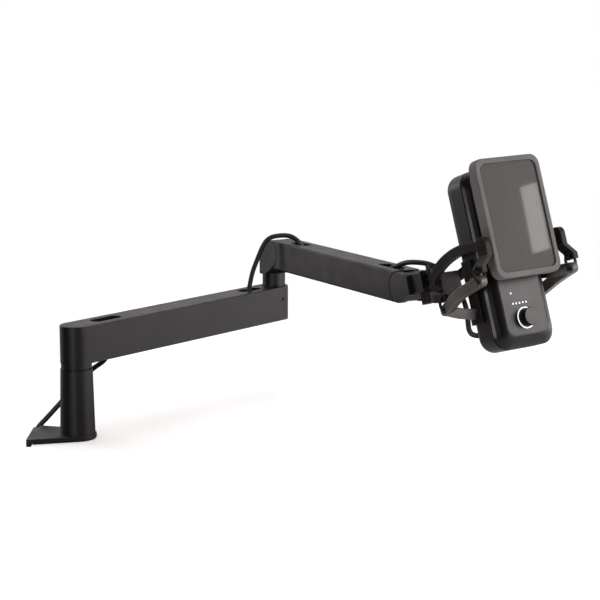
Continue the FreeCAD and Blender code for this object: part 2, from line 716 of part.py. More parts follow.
def make_lower_arm():
    """Hollow arm open below, with the two bearing hubs, their bushes and the under cover."""
    shell = stadium(0, ARM_LENGTH, ARM_R, ARM_FOOT, ARM_TOP)
    shell = rounded_at(shell, ARM_EDGE, lambda p: abs(p.z - ARM_TOP) < 1e-6)
    hollow = stadium(0, ARM_LENGTH, ARM_R - ARM_WALL, ARM_FOOT - CUT_PAST, ARM_CEILING)
    cover_top = ARM_FOOT + COVER_THICK
    posts = [cyl(COVER_POST_R, cover_top, ARM_CEILING + CUT_PAST, x, COVER_POST_Y) for x in COVER_SCREW_X]
    screw_z = ARM_TOP - TENSION_SCREW_DROP
    screw_x = ARM_LENGTH - TENSION_SCREW_BACK
    past_wall = (screw_x, -ARM_R - CUT_PAST, screw_z)
    at_bush = (screw_x, -BUSH_R, screw_z)
    openings = [
        slot(COLUMN_SLOT, SLOT_WIDTH, ARM_CEILING - CUT_PAST, ARM_TOP + CUT_PAST),
        slot(ELBOW_SLOT, SLOT_WIDTH, ARM_CEILING - CUT_PAST, ARM_TOP + CUT_PAST),
        cyl(POST_R + POST_GAP, ARM_CEILING - CUT_PAST, ARM_TOP + CUT_PAST, ARM_LENGTH),
        rod(TENSION_SCREW_R + SEAT_GAP, past_wall, at_bush),
    ]
    tapped = [cyl(COVER_SCREW_R + RUNNING_FIT, ARM_FOOT, ARM_FOOT + COVER_SCREW_LENGTH + CUT_PAST, x,
                  COVER_POST_Y)
              for x in COVER_SCREW_X]
    write("lower_arm", LOWER, cut(fuse(cut(shell, hollow), *posts), *openings, *tapped))
    hub = fuse(cyl(BOSS_R, BOSS_FOOT, ARM_FOOT), cyl(HOUSING_R, ARM_FOOT, BASE_HUB_TOP))
    bush_way = cyl(BUSH_R + RUNNING_FIT, BOSS_FOOT - CUT_PAST, BASE_HUB_TOP + CUT_PAST)
    write("lower_arm_hub", LOWER, cut(hub, bush_way))
    elbow_hub = ring(HOUSING_R, BUSH_R + RUNNING_FIT, ELBOW_HUB_FOOT, ARM_CEILING, ARM_LENGTH)
    write("elbow_hub", LOWER, cut(elbow_hub, rod(TENSION_SCREW_R + RUNNING_FIT, past_wall, at_bush)))
    feet = [(BOSS_FOOT, 0), (BASE_HUB_TOP - BUSH_LENGTH, 0),
            (ELBOW_HUB_FOOT, ARM_LENGTH), (ARM_CEILING - BUSH_LENGTH, ARM_LENGTH)]
    write("arm_bushes", LOWER, *[bush(foot, x) for foot, x in feet])
    socket_end = (screw_x, -BUSH_R - TENSION_SCREW_LENGTH, screw_z)
    screw = rod(TENSION_SCREW_R, (screw_x, -BUSH_R, screw_z), socket_end)
    key = rod(TENSION_SOCKET_R, (screw_x, -BUSH_R - TENSION_SCREW_LENGTH / 2, screw_z), past_wall)
    write("elbow_tension_screw", LOWER, cut(screw, key))
    make_lower_cover(cover_top)


def make_lower_cover(cover_top):
    """Cover under the lower arm, with the cord's way out and its screws."""
    cover = stadium(0, ARM_LENGTH, HOUSING_R, ARM_FOOT, cover_top)
    holes = [cyl(COVER_SCREW_R + SEAT_GAP, ARM_FOOT - CUT_PAST, cover_top + CUT_PAST, x, COVER_POST_Y)
             for x in COVER_SCREW_X]
    seats = [cyl(COVER_SCREW_HEAD_R + SEAT_GAP, ARM_FOOT - CUT_PAST, ARM_FOOT + COVER_SCREW_HEAD, x,
                 COVER_POST_Y)
             for x in COVER_SCREW_X]
    hub_room = cyl(HOUSING_R + TURN_GAP, ARM_FOOT - CUT_PAST, cover_top + CUT_PAST)
    exit_slot = slot(CABLE_EXIT, CABLE_EXIT_WIDTH, ARM_FOOT - CUT_PAST, cover_top + CUT_PAST)
    left_of_hub = box(-ARM_R, HOUSING_R + TURN_GAP, -ARM_R, ARM_R, ARM_FOOT - CUT_PAST,
                      cover_top + CUT_PAST)
    write("lower_arm_cover", LOWER, cut(cover, hub_room, left_of_hub, exit_slot, *holes, *seats))
    screws = []
    for x in COVER_SCREW_X:
        head = cyl(COVER_SCREW_HEAD_R, ARM_FOOT, ARM_FOOT + COVER_SCREW_HEAD, x, COVER_POST_Y)
        screws.append(fuse(head, cyl(COVER_SCREW_R, ARM_FOOT, ARM_FOOT + COVER_SCREW_LENGTH, x,
                                     COVER_POST_Y)))
    write("cover_screws", LOWER, *screws)


def barrel(radius, y0, y1, x, z):
    """Cylinder across the arm."""
    return rod(radius, (x, y0, z), (x, y1, z))


def pin_way(x, z):
    """Blind bore and head seat of a pivot pin, let in from the far side."""
    bore = barrel(PIN_R + RUNNING_FIT, -CHEEK_Y + PIN_SKIN, CHEEK_Y + CUT_PAST, x, z)
    seat = barrel(PIN_HEAD_R + SEAT_GAP, CHEEK_Y - PIN_HEAD - SEAT_GAP, CHEEK_Y + CUT_PAST, x, z)
    return fuse(bore, seat)


def make_elbow():
    """Upright spindle, post and forked head of the elbow, with its washer and retaining screw."""
    pivot_x = ELBOW_OFFSET
    back = -KNUCKLE_REAR_R
    head = prism([(back, -CHEEK_Y, HEAD_FOOT), (KNUCKLE_FOOT, -CHEEK_Y, HEAD_FOOT),
                  tangent_point(KNUCKLE_FOOT, HEAD_FOOT, 1), (pivot_x, -CHEEK_Y, ELBOW_Z),
                  tangent_point(back, HEAD_FOOT + KNUCKLE_BACK_RISE, -1),
                  (back, -CHEEK_Y, HEAD_FOOT + KNUCKLE_BACK_RISE)], (0, 2 * CHEEK_Y, 0))
    round_back = fuse(cyl(KNUCKLE_REAR_R, HEAD_FOOT, ELBOW_Z + CHEEK_R),
                      box(0, pivot_x + CHEEK_R, -CHEEK_Y, CHEEK_Y, HEAD_FOOT, ELBOW_Z + CHEEK_R))
    head = fuse(head, barrel(CHEEK_R, -CHEEK_Y, CHEEK_Y, pivot_x, ELBOW_Z)).common(round_back)
    room = TONGUE_R + TONGUE_ROOM + DRUM_RIB_R / 2
    fork = fuse(barrel(room, -FORK_Y, FORK_Y, pivot_x, ELBOW_Z),
                box(pivot_x - NECK_ROOM, pivot_x + 2 * CHEEK_R, -FORK_Y, FORK_Y,
                    ELBOW_Z - room, ELBOW_Z + 2 * CHEEK_R))
    spindle_foot = ELBOW_HUB_FOOT - SEAT_GAP
    post = fuse(head, cyl(POST_R, POST_FOOT, HEAD_FOOT + CUT_PAST),
                cyl(SPINDLE_R, spindle_foot, POST_FOOT))
    tapped = cyl(RETAINER_R + RUNNING_FIT, spindle_foot - CUT_PAST,
                 spindle_foot + RETAINER_DEPTH + CUT_PAST)
    write("elbow_knuckle", UPPER, cut(post, fork, pin_way(pivot_x, ELBOW_Z), tapped))
    write("elbow_washer", UPPER, ring(POST_R, SPINDLE_R + SEAT_GAP, ARM_CEILING, POST_FOOT))
    washer_foot = spindle_foot - RETAINER_WASHER
    retainer = fuse(cyl(BUSH_R + BUSH_WALL, washer_foot, spindle_foot),
                    cyl(RETAINER_HEAD_R, washer_foot - RETAINER_HEAD, spindle_foot),
                    cyl(RETAINER_R, washer_foot, spindle_foot + RETAINER_DEPTH))
    key = hexagon(RETAINER_R, washer_foot - RETAINER_HEAD - CUT_PAST, washer_foot - RETAINER_HEAD / 2)
    write("elbow_retaining_screw", UPPER, cut(retainer, key))


def tangent_point(x, z, side):
    """Point where a line from the head's profile touches the cheek's circle."""
    dx, dz = x - ELBOW_OFFSET, z - ELBOW_Z
    turn = math.atan2(dz, dx) + side * math.acos(CHEEK_R / math.hypot(dx, dz))
    return (ELBOW_OFFSET + CHEEK_R * math.cos(turn), -CHEEK_Y, ELBOW_Z + CHEEK_R * math.sin(turn))


def tube_section(inset, x0, x1):
    """Rounded bar of the upper arm's section, less an inset."""
    half_y, half_z = UPPER_WIDTH / 2 - inset, UPPER_HEIGHT / 2 - inset
    bar = box(x0, x1, -half_y, half_y, ELBOW_Z - half_z, ELBOW_Z + half_z)
    corner = max(UPPER_EDGE - inset, UPPER_EDGE / 4)
    return rounded_along(bar, corner, (1, 0, 0))


def make_upper_arm():
    """Square tube with a tongue block in each end, an under hatch, and the pins of its two pivots."""
    ends = (ELBOW_OFFSET, UPPER_LENGTH)
    tube = tube_section(0, *ends)
    hollow = tube_section(UPPER_WALL, ends[0] - CUT_PAST, ends[1] + CUT_PAST)
    rounds = [barrel(CHEEK_R + CHEEK_GAP, -UPPER_WIDTH, UPPER_WIDTH, x, ELBOW_Z) for x in ends]
    top = ELBOW_Z + UPPER_HEIGHT / 2
    foot = ELBOW_Z - UPPER_HEIGHT / 2
    slots = [slot(span, UPPER_SLOT_WIDTH, top - 2 * UPPER_WALL, top + CUT_PAST)
             for span in (REAR_SLOT, FRONT_SLOT)]
    half = HATCH_WIDTH / 2
    hatch = box(HATCH[0], HATCH[1], -half, half, foot - CUT_PAST, foot + UPPER_WALL + CUT_PAST)
    write("upper_arm", UPPER, cut(tube, hollow, hatch, *rounds, *slots))
    write("upper_arm_cover", UPPER,
          box(HATCH[0] + SEAT_GAP, HATCH[1] - SEAT_GAP, -half + SEAT_GAP, half - SEAT_GAP,
                                        foot, foot + UPPER_WALL))
    write("rear_block", UPPER, tongue_block(ELBOW_OFFSET, 1, []))
    ribs = [math.radians(DRUM_RIB_START - k * DRUM_RIB_STEP) for k in range(DRUM_RIBS)]
    write("front_block", UPPER, tongue_block(UPPER_LENGTH, -1, ribs))
    pins = [fuse(barrel(PIN_R, -CHEEK_Y + PIN_SKIN + SEAT_GAP, CHEEK_Y - SKIN_GAP, x, ELBOW_Z),
                 barrel(PIN_HEAD_R, CHEEK_Y - PIN_HEAD, CHEEK_Y - SKIN_GAP, x, ELBOW_Z)) for x in ends]
    write("pivot_pins", UPPER, *pins)
    washers = []
    for x in ends:
        for near in (-FORK_Y + SEAT_GAP / 2, FORK_Y - SEAT_GAP / 2 - FRICTION_WASHER):
            disc = barrel(FRICTION_WASHER_R, near, near + FRICTION_WASHER, x, ELBOW_Z)
            hole = barrel(PIN_R + SEAT_GAP, near - CUT_PAST, near + FRICTION_WASHER + CUT_PAST, x,
                          ELBOW_Z)
            washers.append(cut(disc, hole))
    write("friction_washers", UPPER, *washers)


def tongue_block(pivot_x, way, ribs):
    """Block that fills the tube's end and carries a round tongue on the pivot, ribbed where asked."""
    start = pivot_x + way * (CHEEK_R + BLOCK_START)
    end = start + way * BLOCK_LENGTH
    half_y = UPPER_WIDTH / 2 - UPPER_WALL - SEAT_GAP
    half_z = UPPER_HEIGHT / 2 - UPPER_WALL - SEAT_GAP
    block = box(min(start, end), max(start, end), -half_y, half_y, ELBOW_Z - half_z, ELBOW_Z + BLOCK_TOP)
    neck_z = TONGUE_NECK / 2
    neck = box(min(pivot_x, start), max(pivot_x, start), -TONGUE_Y, TONGUE_Y, ELBOW_Z - neck_z,
               ELBOW_Z + BLOCK_TOP)
    drum = barrel(TONGUE_R, -TONGUE_Y, TONGUE_Y, pivot_x, ELBOW_Z)
    ridges = [barrel(DRUM_RIB_R, -TONGUE_Y, TONGUE_Y, pivot_x + TONGUE_R * math.cos(t),
                     ELBOW_Z + TONGUE_R * math.sin(t))
              for t in ribs]
    bore = barrel(PIN_R + RUNNING_FIT, -CHEEK_Y, CHEEK_Y, pivot_x, ELBOW_Z)
    return cut(fuse(block, neck, drum, *ridges), bore)


def make_wrist():
    """Fork on the tilt axis with the stud that the mount rolls on."""
    disc = barrel(CHEEK_R, -CHEEK_Y, CHEEK_Y, 0, 0)
    body = box(0, WRIST_BODY_END, -CHEEK_Y, CHEEK_Y, -WRIST_BODY_HALF, WRIST_BODY_HALF)
    stud = rod(STUD_R, (0, 0, 0), (STUD_END, 0, 0))
    room = TONGUE_R + TONGUE_ROOM + DRUM_RIB_R / 2
    fork = fuse(barrel(room, -FORK_Y, FORK_Y, 0, 0),
                box(-2 * CHEEK_R, 0, -FORK_Y, FORK_Y, -2 * CHEEK_R, 2 * CHEEK_R),
                box(-CHEEK_R, room / 2, -FORK_Y, FORK_Y, WRIST_BODY_HALF - CUT_PAST, 2 * CHEEK_R),
                box(-CHEEK_R, room / 2, -FORK_Y, FORK_Y, -2 * CHEEK_R, CUT_PAST - WRIST_BODY_HALF))
    tapped = rod(SWIVEL_SCREW_R + RUNNING_FIT, (STUD_END - SWIVEL_SCREW_DEPTH - CUT_PAST, 0, 0),
                 (STUD_END + CUT_PAST, 0, 0))
    write("wrist_knuckle", WRIST, cut(fuse(disc, body, stud), fork, pin_way(0, 0), tapped))
    head = rod(SWIVEL_SCREW_HEAD_R, (HEAD_SEAT, 0, 0), (HEAD_SEAT + SWIVEL_SCREW_HEAD, 0, 0))
    shank = rod(SWIVEL_SCREW_R, (STUD_END - SWIVEL_SCREW_DEPTH, 0, 0), (HEAD_SEAT, 0, 0))
    write("swivel_screw", WRIST, fuse(head, shank))


def make_swivel():
    """Block that rolls on the stud and carries the pan lugs, with its lock knob and pan pin."""
    body = box(SWIVEL_START, FORK_ROOT, -SWIVEL_HALF_Y, SWIVEL_HALF_Y, -SWIVEL_HALF_Z, SWIVEL_HALF_Z)
    body = rounded_along(body, SWIVEL_EDGE, (1, 0, 0))
    lug_foot = PAN_TONGUE_HALF + TURN_GAP
    lugs = []
    for z0, z1 in ((lug_foot, SWIVEL_HALF_Z), (-SWIVEL_HALF_Z, -lug_foot)):
        lugs.append(box(FORK_ROOT - CUT_PAST, PAN_AXIS, -PAN_LUG_R, PAN_LUG_R, z0, z1))
        lugs.append(cyl(PAN_LUG_R, z0, z1, PAN_AXIS))
    cuts = [
        rod(STUD_R + RUNNING_FIT, (SWIVEL_START - CUT_PAST, 0, 0), (STUD_ROOM, 0, 0)),
        rod(SWIVEL_SCREW_R + TURN_GAP, (SWIVEL_START, 0, 0), (HEAD_SEAT + CUT_PAST, 0, 0)),
        rod(SWIVEL_SCREW_HEAD_R + TURN_GAP, (HEAD_SEAT - SEAT_GAP, 0, 0), (FORK_ROOT + CUT_PAST, 0, 0)),
        cyl(PAN_PIN_R + RUNNING_FIT, -2 * SWIVEL_HALF_Z, 2 * SWIVEL_HALF_Z, PAN_AXIS),
        cyl(KNOB_SCREW_R + RUNNING_FIT, -2 * SWIVEL_HALF_Z, 0, KNOB_X),
    ]
    write("swivel_block", SWIVEL, cut(fuse(body, *lugs), *cuts))
    head = hexagon(2 * PAN_HEAD_R, SWIVEL_HALF_Z, SWIVEL_HALF_Z + PAN_HEAD)
    pin = fuse(head, cyl(PAN_PIN_R, -SWIVEL_HALF_Z, SWIVEL_HALF_Z + PAN_HEAD))
    write("pan_pin", SWIVEL * frame((PAN_AXIS, 0, 0)), pin)
    knob_top = -SWIVEL_HALF_Z - TURN_GAP
    grip = lobed(KNOB_R, KNOB_LOBE_R, KNOB_LOBES, knob_top - KNOB_HEIGHT, knob_top)
    screw = cyl(KNOB_SCREW_R, knob_top - CUT_PAST, -STUD_R - TURN_GAP)
    write("swivel_knob", SWIVEL * frame((KNOB_X, 0, 0)), fuse(grip, screw))


def make_yoke():
    """Outer suspension frame: pan tongue, hub, two arches with ears and two lower struts."""
    front = HUB_BACK - PAN_LUG_R - TURN_GAP
    tongue = fuse(cyl(PAN_TONGUE_R, HUB_UP - PAN_TONGUE_HALF, HUB_UP + PAN_TONGUE_HALF, 0, HUB_BACK),
                  box(-PAN_TONGUE_R, PAN_TONGUE_R, front, HUB_BACK,
                      HUB_UP - PAN_TONGUE_HALF, HUB_UP + PAN_TONGUE_HALF))
    hub = box(-HUB_HALF_X, HUB_HALF_X, front - HUB_LENGTH, front, HUB_UP - HUB_DROP, HUB_UP + HUB_RISE)
    solids = [tongue, hub]
    thick, hole = EAR_THICK / 2, HOOK_HOLE / 2
    round_z = EAR_TOP - EAR_WIDTH / 2
    bend_top, bend_foot = EAR_BEND
    ear_front = EAR_Y - EAR_WIDTH / 2
    flare = [(EAR_X - thick, bend_top), (EAR_X + thick, bend_top), (SIDE_X + thick, bend_foot),
             (SIDE_X + thick, EAR_FOOT), (SIDE_X - thick, EAR_FOOT), (SIDE_X - thick, bend_foot)]
    rear_x0, rear_x1 = REAR_X - thick, REAR_X + thick
    rear_up = REAR_HOOK_UP[1]
    side = [
        flat_bar(ARCH_ROOT + [(EAR_X + x, y, z) for x, y, z in ARCH_END], ARCH_TALL, ARCH_THICK),
        flat_bar(STRUT_ROOT + [(REAR_X + x, y, z) for x, y, z in STRUT_END], STRUT_TALL, STRUT_THICK),
        box(EAR_X - thick, EAR_X + thick, ear_front, ear_front + EAR_WIDTH, bend_top, round_z),
        rod(EAR_WIDTH / 2, (EAR_X - thick, EAR_Y, round_z), (EAR_X + thick, EAR_Y, round_z)),
        prism([(x, ear_front, z) for x, z in flare], (0, EAR_WIDTH, 0)),
        rod(STRUT_TALL / 2, (rear_x0, REAR_HOOK_Y, rear_up), (rear_x1, REAR_HOOK_Y, rear_up)),
    ]
    holes = [rod(EAR_HOLE_R, (0, EAR_Y, EAR_TOP - drop), (2 * SIDE_X, EAR_Y, EAR_TOP - drop))
             for drop in EAR_HOLE_DROP]
    for x, back, up in ((SIDE_X, FRONT_HOOK_Y, FRONT_HOOK_UP[1]), (REAR_X, REAR_HOOK_Y, rear_up)):
        holes.append(box(x - EAR_THICK, x + EAR_THICK, back - hole, back + hole, up - hole, up + hole))
    for solid in side:
        solids += both_sides(solid)
    tools = [cyl(PAN_PIN_R + RUNNING_FIT, 0, 2 * HUB_UP, 0, HUB_BACK)]
    for tool in holes:
        tools += both_sides(tool)
    write("yoke", MIC, cut(fuse(*solids), *tools))


def make_cradle():
    """Inner suspension frame: a band round the microphone's back, side posts and two wings."""
    def around(gap):
        half = MIC_HALF + gap
        rear = REAR_DEPTH + gap
        block = box(-half, half, CRADLE_FRONT, rear, CRADLE_FOOT, CRADLE_TOP)
        return rounded_along(block, REAR_ROUND + gap, (0, 0, 1), lambda p: abs(p.y - rear) < 1e-6)
    band_top = CRADLE_FOOT + CRADLE_BAND
    shell = around(SKIN_GAP + CRADLE_WALL).cut(around(SKIN_GAP))
    open_front = box(-MIC_HALF, MIC_HALF, CRADLE_FRONT - CUT_PAST, CRADLE_FRONT + CRADLE_WALL * 2, 0,
                     MIC_TOP)
    above_band = box(-MIC_WIDTH, MIC_WIDTH, CRADLE_FRONT + CRADLE_POST, 2 * REAR_DEPTH, band_top,
                     MIC_TOP)
    frame_solid = cut(shell, open_front, above_band)
    wall_x = MIC_HALF + SKIN_GAP + CRADLE_WALL / 2
    thick, hole = WING_THICK / 2, HOOK_HOLE / 2
    top = (SIDE_X, FRONT_HOOK_Y, FRONT_HOOK_UP[0])
    tip = (REAR_X, REAR_HOOK_Y, REAR_HOOK_UP[0])
    side = [
        wing_bar(tip, (SIDE_X + WING_BOW_OUT, *WING_BOW), top),
        wing_bar(tip, ((wall_x + REAR_X) / 2, *WING_FOOT_BOW), (wall_x, *WING_FOOT)),
        wing_bar(top, ((wall_x + SIDE_X) / 2, *WING_BRIDGE_BOW), (wall_x, *WING_BRIDGE)),
    ]
    inside = MIC_HALF + SKIN_GAP
    solids, tools = [frame_solid], [box(-inside, inside, 0, REAR_DEPTH - REAR_ROUND, 0, MIC_TOP)]
    for x, back, up in (top, tip):
        side.append(rod(WING_BAR_R, (x - thick, back, up), (x + thick, back, up)))
        eye = box(x - WING_THICK, x + WING_THICK, back - hole, back + hole, up - hole, up + hole)
        tools += both_sides(eye)
    for solid in side:
        solids += both_sides(solid)
    write("cradle", MIC, cut(fuse(*solids), *tools))


def wing_bar(start, bow, end):
    """Flat bar of the cradle's wing, bowed through a middle point."""
    return flat_bar([start, bow, end], 2 * WING_BAR_R, WING_THICK)


def make_elastic_bands():
    """Elastic loops that hang the cradle in the yoke, two in front and two behind."""
    def loop(first, second, across):
        a, b = V(*first), V(*second)
        side = V(*across) * BAND_REACH
        out = (b - a).normalize() * BAND_REACH
        edges = [Part.makeLine(a - side, b - side), Part.Arc(b - side, b + out, b + side).toShape(),
                 Part.makeLine(b + side, a + side), Part.Arc(a + side, a - out, a - side).toShape()]
        wire = Part.Wire(edges)
        section = Part.Wire(Part.makeCircle(BAND_R, a - side, b - a))
        return wire.makePipeShell([section], True, False)
    near = BAND_REACH - HOOK_HOLE / 2 + BAND_R
    front = loop((SIDE_X, FRONT_HOOK_Y, FRONT_HOOK_UP[0] + near),
                 (SIDE_X, FRONT_HOOK_Y, FRONT_HOOK_UP[1] - near), (1, 0, 0))
    rear = loop((REAR_X, REAR_HOOK_Y, REAR_HOOK_UP[0] + near),
                (REAR_X, REAR_HOOK_Y, REAR_HOOK_UP[1] - near), (1, 0, 0))
    write("elastic_bands", MIC, *both_sides(front), *both_sides(rear))


def make_rear_housing():
    """Rear shell of the microphone with board posts and the socket's opening."""
    def bowl(inset, front):
        block = rounded_block(MIC_HALF - inset, MIC_FOOT + inset, MIC_TOP - inset, MIC_CORNER_R - inset,
                              front, REAR_DEPTH - inset)
        return rounded_at(block, REAR_ROUND - inset, lambda p: abs(p.y - REAR_DEPTH + inset) < 1e-6)
    shell = bowl(0, 0).cut(bowl(MIC_WALL, -CUT_PAST))
    board_back = BOARD_BACK + BOARD_THICK
    post_at = [(x, up) for x in (-BOARD_POST_X, BOARD_POST_X) for up in BOARD_POST_UP]
    posts = [rod(BOARD_POST_R, (x, board_back, up), (x, REAR_DEPTH - MIC_WALL / 2, up))
             for x, up in post_at]
    taps = [rod(BOARD_SCREW_R + RUNNING_FIT, (x, 0, up),
                (x, board_back + BOARD_SCREW_DEPTH + CUT_PAST, up))
            for x, up in post_at]
    port = rounded_block(SOCKET_HALF_X + SEAT_GAP, PORT_UP - SOCKET_HALF_Z - SEAT_GAP,
                         PORT_UP + SOCKET_HALF_Z + SEAT_GAP,
                         SOCKET_HALF_Z, board_back, REAR_DEPTH + CUT_PAST)
    write("rear_housing", MIC, cut(fuse(shell, *posts), port, *taps))
    board = rounded_block(BOARD_HALF, BOARD_FOOT, BOARD_TOP, MIC_WALL, BOARD_BACK, board_back)
    write("circuit_board", MIC, cut(board, *taps))
    screws = []
    for x, up in post_at:
        head = rod(BOARD_SCREW_HEAD_R, (x, BOARD_BACK - BOARD_SCREW_HEAD, up), (x, BOARD_BACK, up))
        shank = rod(BOARD_SCREW_R, (x, BOARD_BACK - BOARD_SCREW_HEAD, up),
                    (x, board_back + BOARD_SCREW_DEPTH, up))
        screws.append(fuse(head, shank))
    write("board_screws", MIC, *screws)
    socket_end = REAR_DEPTH - SKIN_GAP
    can = rounded_block(SOCKET_HALF_X, PORT_UP - SOCKET_HALF_Z, PORT_UP + SOCKET_HALF_Z,
                        SOCKET_HALF_Z - SEAT_GAP, board_back, socket_end)
    inner = rounded_block(SOCKET_HALF_X - SOCKET_WALL, PORT_UP - SOCKET_HALF_Z + SOCKET_WALL,
                          PORT_UP + SOCKET_HALF_Z - SOCKET_WALL, SOCKET_HALF_Z - SOCKET_WALL - SEAT_GAP,
                          board_back + SOCKET_WALL, socket_end + CUT_PAST)
    write("usb_socket", MIC, can.cut(inner))


def front_section(depth, inset):
    """Outline of the front shell at one depth."""
    return rounded_wire(MIC_HALF - inset, MIC_FOOT + inset, MIC_TOP - inset, MIC_CORNER_R - inset / 2, -depth)


def make_front_housing():
    """Bevelled front shell with openings for the grille, the dial, its light ring and the level lights."""
    outer = Part.makeLoft([front_section(0, 0)] + [front_section(*step) for step in BEVEL_STEPS],
                          True, True)
    beyond = rounded_block(MIC_HALF + CUT_PAST, MIC_FOOT - CUT_PAST, MIC_TOP + CUT_PAST, MIC_CORNER_R,
                           -SEAM_WIDTH, CUT_PAST)
    within = rounded_block(MIC_HALF - SEAM_DEPTH, MIC_FOOT + SEAM_DEPTH, MIC_TOP - SEAM_DEPTH,
                           MIC_CORNER_R - SEAM_DEPTH, -SEAM_WIDTH, CUT_PAST)
    seam = beyond.cut(within)
    floor = FRONT_DEPTH - MIC_WALL
    flat_inset = BEVEL_STEPS[-1][1]
    hollow = Part.makeLoft([front_section(-CUT_PAST, MIC_WALL),
                            front_section(BEVEL_STEPS[1][0], 2 * MIC_WALL),
                            front_section(floor, flat_inset)], True, True)
    dial = (0, DIAL_UP)
    lights = [(LIGHT_FIRST_X + k * LIGHT_PITCH, LIGHT_UP) for k in range(LIGHT_COUNT)] + [MUTE_LIGHT]
    opening = rounded_block(GRILLE_HALF, GRILLE_FOOT, GRILLE_TOP, GRILLE_CORNER_R, -2 * FRONT_DEPTH, 0)
    shaft_way = rod(SHAFT_R + TURN_GAP, (dial[0], -2 * FRONT_DEPTH, dial[1]), (dial[0], 0, dial[1]))
    groove_end = -FRONT_DEPTH + RING_DEPTH
    groove = rod(RING_R + SEAT_GAP, (0, -2 * FRONT_DEPTH, DIAL_UP), (0, groove_end, DIAL_UP)).cut(
        rod(RING_INNER_R - SEAT_GAP, (0, -2 * FRONT_DEPTH, DIAL_UP), (0, groove_end, DIAL_UP)))
    light_ways = [rod(LIGHT_R + RUNNING_FIT, (x, -2 * FRONT_DEPTH, up), (x, 0, up)) for x, up in lights]
    write("front_housing", MIC, cut(outer, seam, hollow, opening, shaft_way, groove, *light_ways))
    plate = rounded_block(GRILLE_HALF + GRILLE_LAP, GRILLE_FOOT - GRILLE_LAP, GRILLE_TOP + GRILLE_LAP,
                          GRILLE_CORNER_R + GRILLE_LAP,
                          -floor, -floor + GRILLE_THICK)
    write("front_grille", MIC, plate)
    light_ring = rod(RING_R, (0, -FRONT_DEPTH - RING_PROUD, DIAL_UP), (0, groove_end, DIAL_UP)).cut(
        rod(RING_INNER_R, (0, -2 * FRONT_DEPTH, DIAL_UP), (0, 0, DIAL_UP)))
    write("dial_light_ring", MIC, light_ring)
    write("level_lights", MIC,
          *[rod(LIGHT_R, (x, -FRONT_DEPTH, up), (x, -floor, up)) for x, up in lights])


def make_dial():
    """Gain dial on the shaft of a push encoder."""
    dial_back = -FRONT_DEPTH - DIAL_PRESS - DIAL_CLEAR
    dial_front = dial_back - DIAL_LENGTH
    body = rod(DIAL_R, (0, dial_front, DIAL_UP), (0, dial_back, DIAL_UP))
    body = rounded_at(body, DIAL_EDGE, lambda p: abs(p.y - dial_front) < 1e-6)
    bore_end = dial_front + DIAL_CAP
    write("gain_dial", MIC,
          cut(body, rod(SHAFT_R + RUNNING_FIT, (0, bore_end, DIAL_UP), (0, 0, DIAL_UP))))
    encoder_front = BOARD_BACK - ENCODER_DEPTH
    shaft_end = encoder_front + SHAFT_DEPTH
    write("encoder_shaft", MIC, rod(SHAFT_R, (0, bore_end + SEAT_GAP, DIAL_UP), (0, shaft_end, DIAL_UP)))
    can = box(-ENCODER_HALF, ENCODER_HALF, encoder_front, BOARD_BACK, DIAL_UP - ENCODER_HALF,
              DIAL_UP + ENCODER_HALF)
    well = rod(SHAFT_R + RUNNING_FIT, (0, 0, DIAL_UP), (0, shaft_end + DIAL_PRESS + SEAT_GAP, DIAL_UP))
    write("encoder_body", MIC, cut(can, well))


def make_capsule():
    """Round capsule in a holder that stands on the board."""
    back = CAPSULE_FRONT + CAPSULE_DEPTH
    write("capsule", MIC, rod(CAPSULE_R, (0, CAPSULE_FRONT, CAPSULE_UP), (0, back, CAPSULE_UP)))
    holder_front = back - HOLDER_DEPTH
    collar = rod(HOLDER_R, (0, holder_front, CAPSULE_UP), (0, back, CAPSULE_UP))
    middle = (HOLDER_R + CAPSULE_R) / 2
    legs = [box(x - HOLDER_LEG / 4, x + HOLDER_LEG / 4, holder_front, BOARD_BACK,
                CAPSULE_UP - HOLDER_LEG, CAPSULE_UP + HOLDER_LEG)
            for x in (-middle, middle)]
    seat = rod(CAPSULE_R + SEAT_GAP, (0, holder_front - CUT_PAST, CAPSULE_UP),
               (0, BOARD_BACK + CUT_PAST, CAPSULE_UP))
    write("capsule_holder", MIC, cut(fuse(collar, *legs), seat))


def make_pop_filter():
    """Stepped frame that seats on the front face, with an outer and an inner mesh."""
    outer = rounded_block(POP_HALF, POP_FOOT, POP_TOP, POP_CORNER_R, -POP_FRONT, -POP_STEP)
    outer = rounded_at(outer, POP_EDGE, lambda p: abs(p.y + POP_FRONT) < 1e-6)
    neck = rounded_block(POP_HALF - POP_NECK, POP_FOOT + POP_NECK, POP_TOP - POP_NECK, POP_CORNER_R,
                         -POP_STEP - CUT_PAST, -POP_BACK)
    inner_r = POP_CORNER_R - POP_RIM / 2
    rim = (POP_HALF - POP_RIM, POP_FOOT + POP_RIM, POP_TOP - POP_RIM, inner_r)
    well = rounded_block(*rim, -POP_FRONT - CUT_PAST, -POP_STEP - POP_FLANGE)
    opening = rounded_block(POP_OPENING_HALF, POP_FOOT + POP_OPENING_MARGIN / 2,
                            POP_TOP - POP_OPENING_MARGIN, inner_r,
                            -POP_FRONT, 0)
    front = -POP_FRONT + MESH_RECESS
    write("pop_filter_frame", MIC, cut(fuse(outer, neck), well, opening))
    sheet = (POP_HALF - POP_RIM - SEAT_GAP, POP_FOOT + POP_RIM + SEAT_GAP, POP_TOP - POP_RIM - SEAT_GAP,
             inner_r - SEAT_GAP)
    meshes = [rounded_block(*sheet, y, y + MESH_THICK) for y in (front, front + MESH_SPACING)]
    write("pop_filter_mesh", MIC, *meshes)


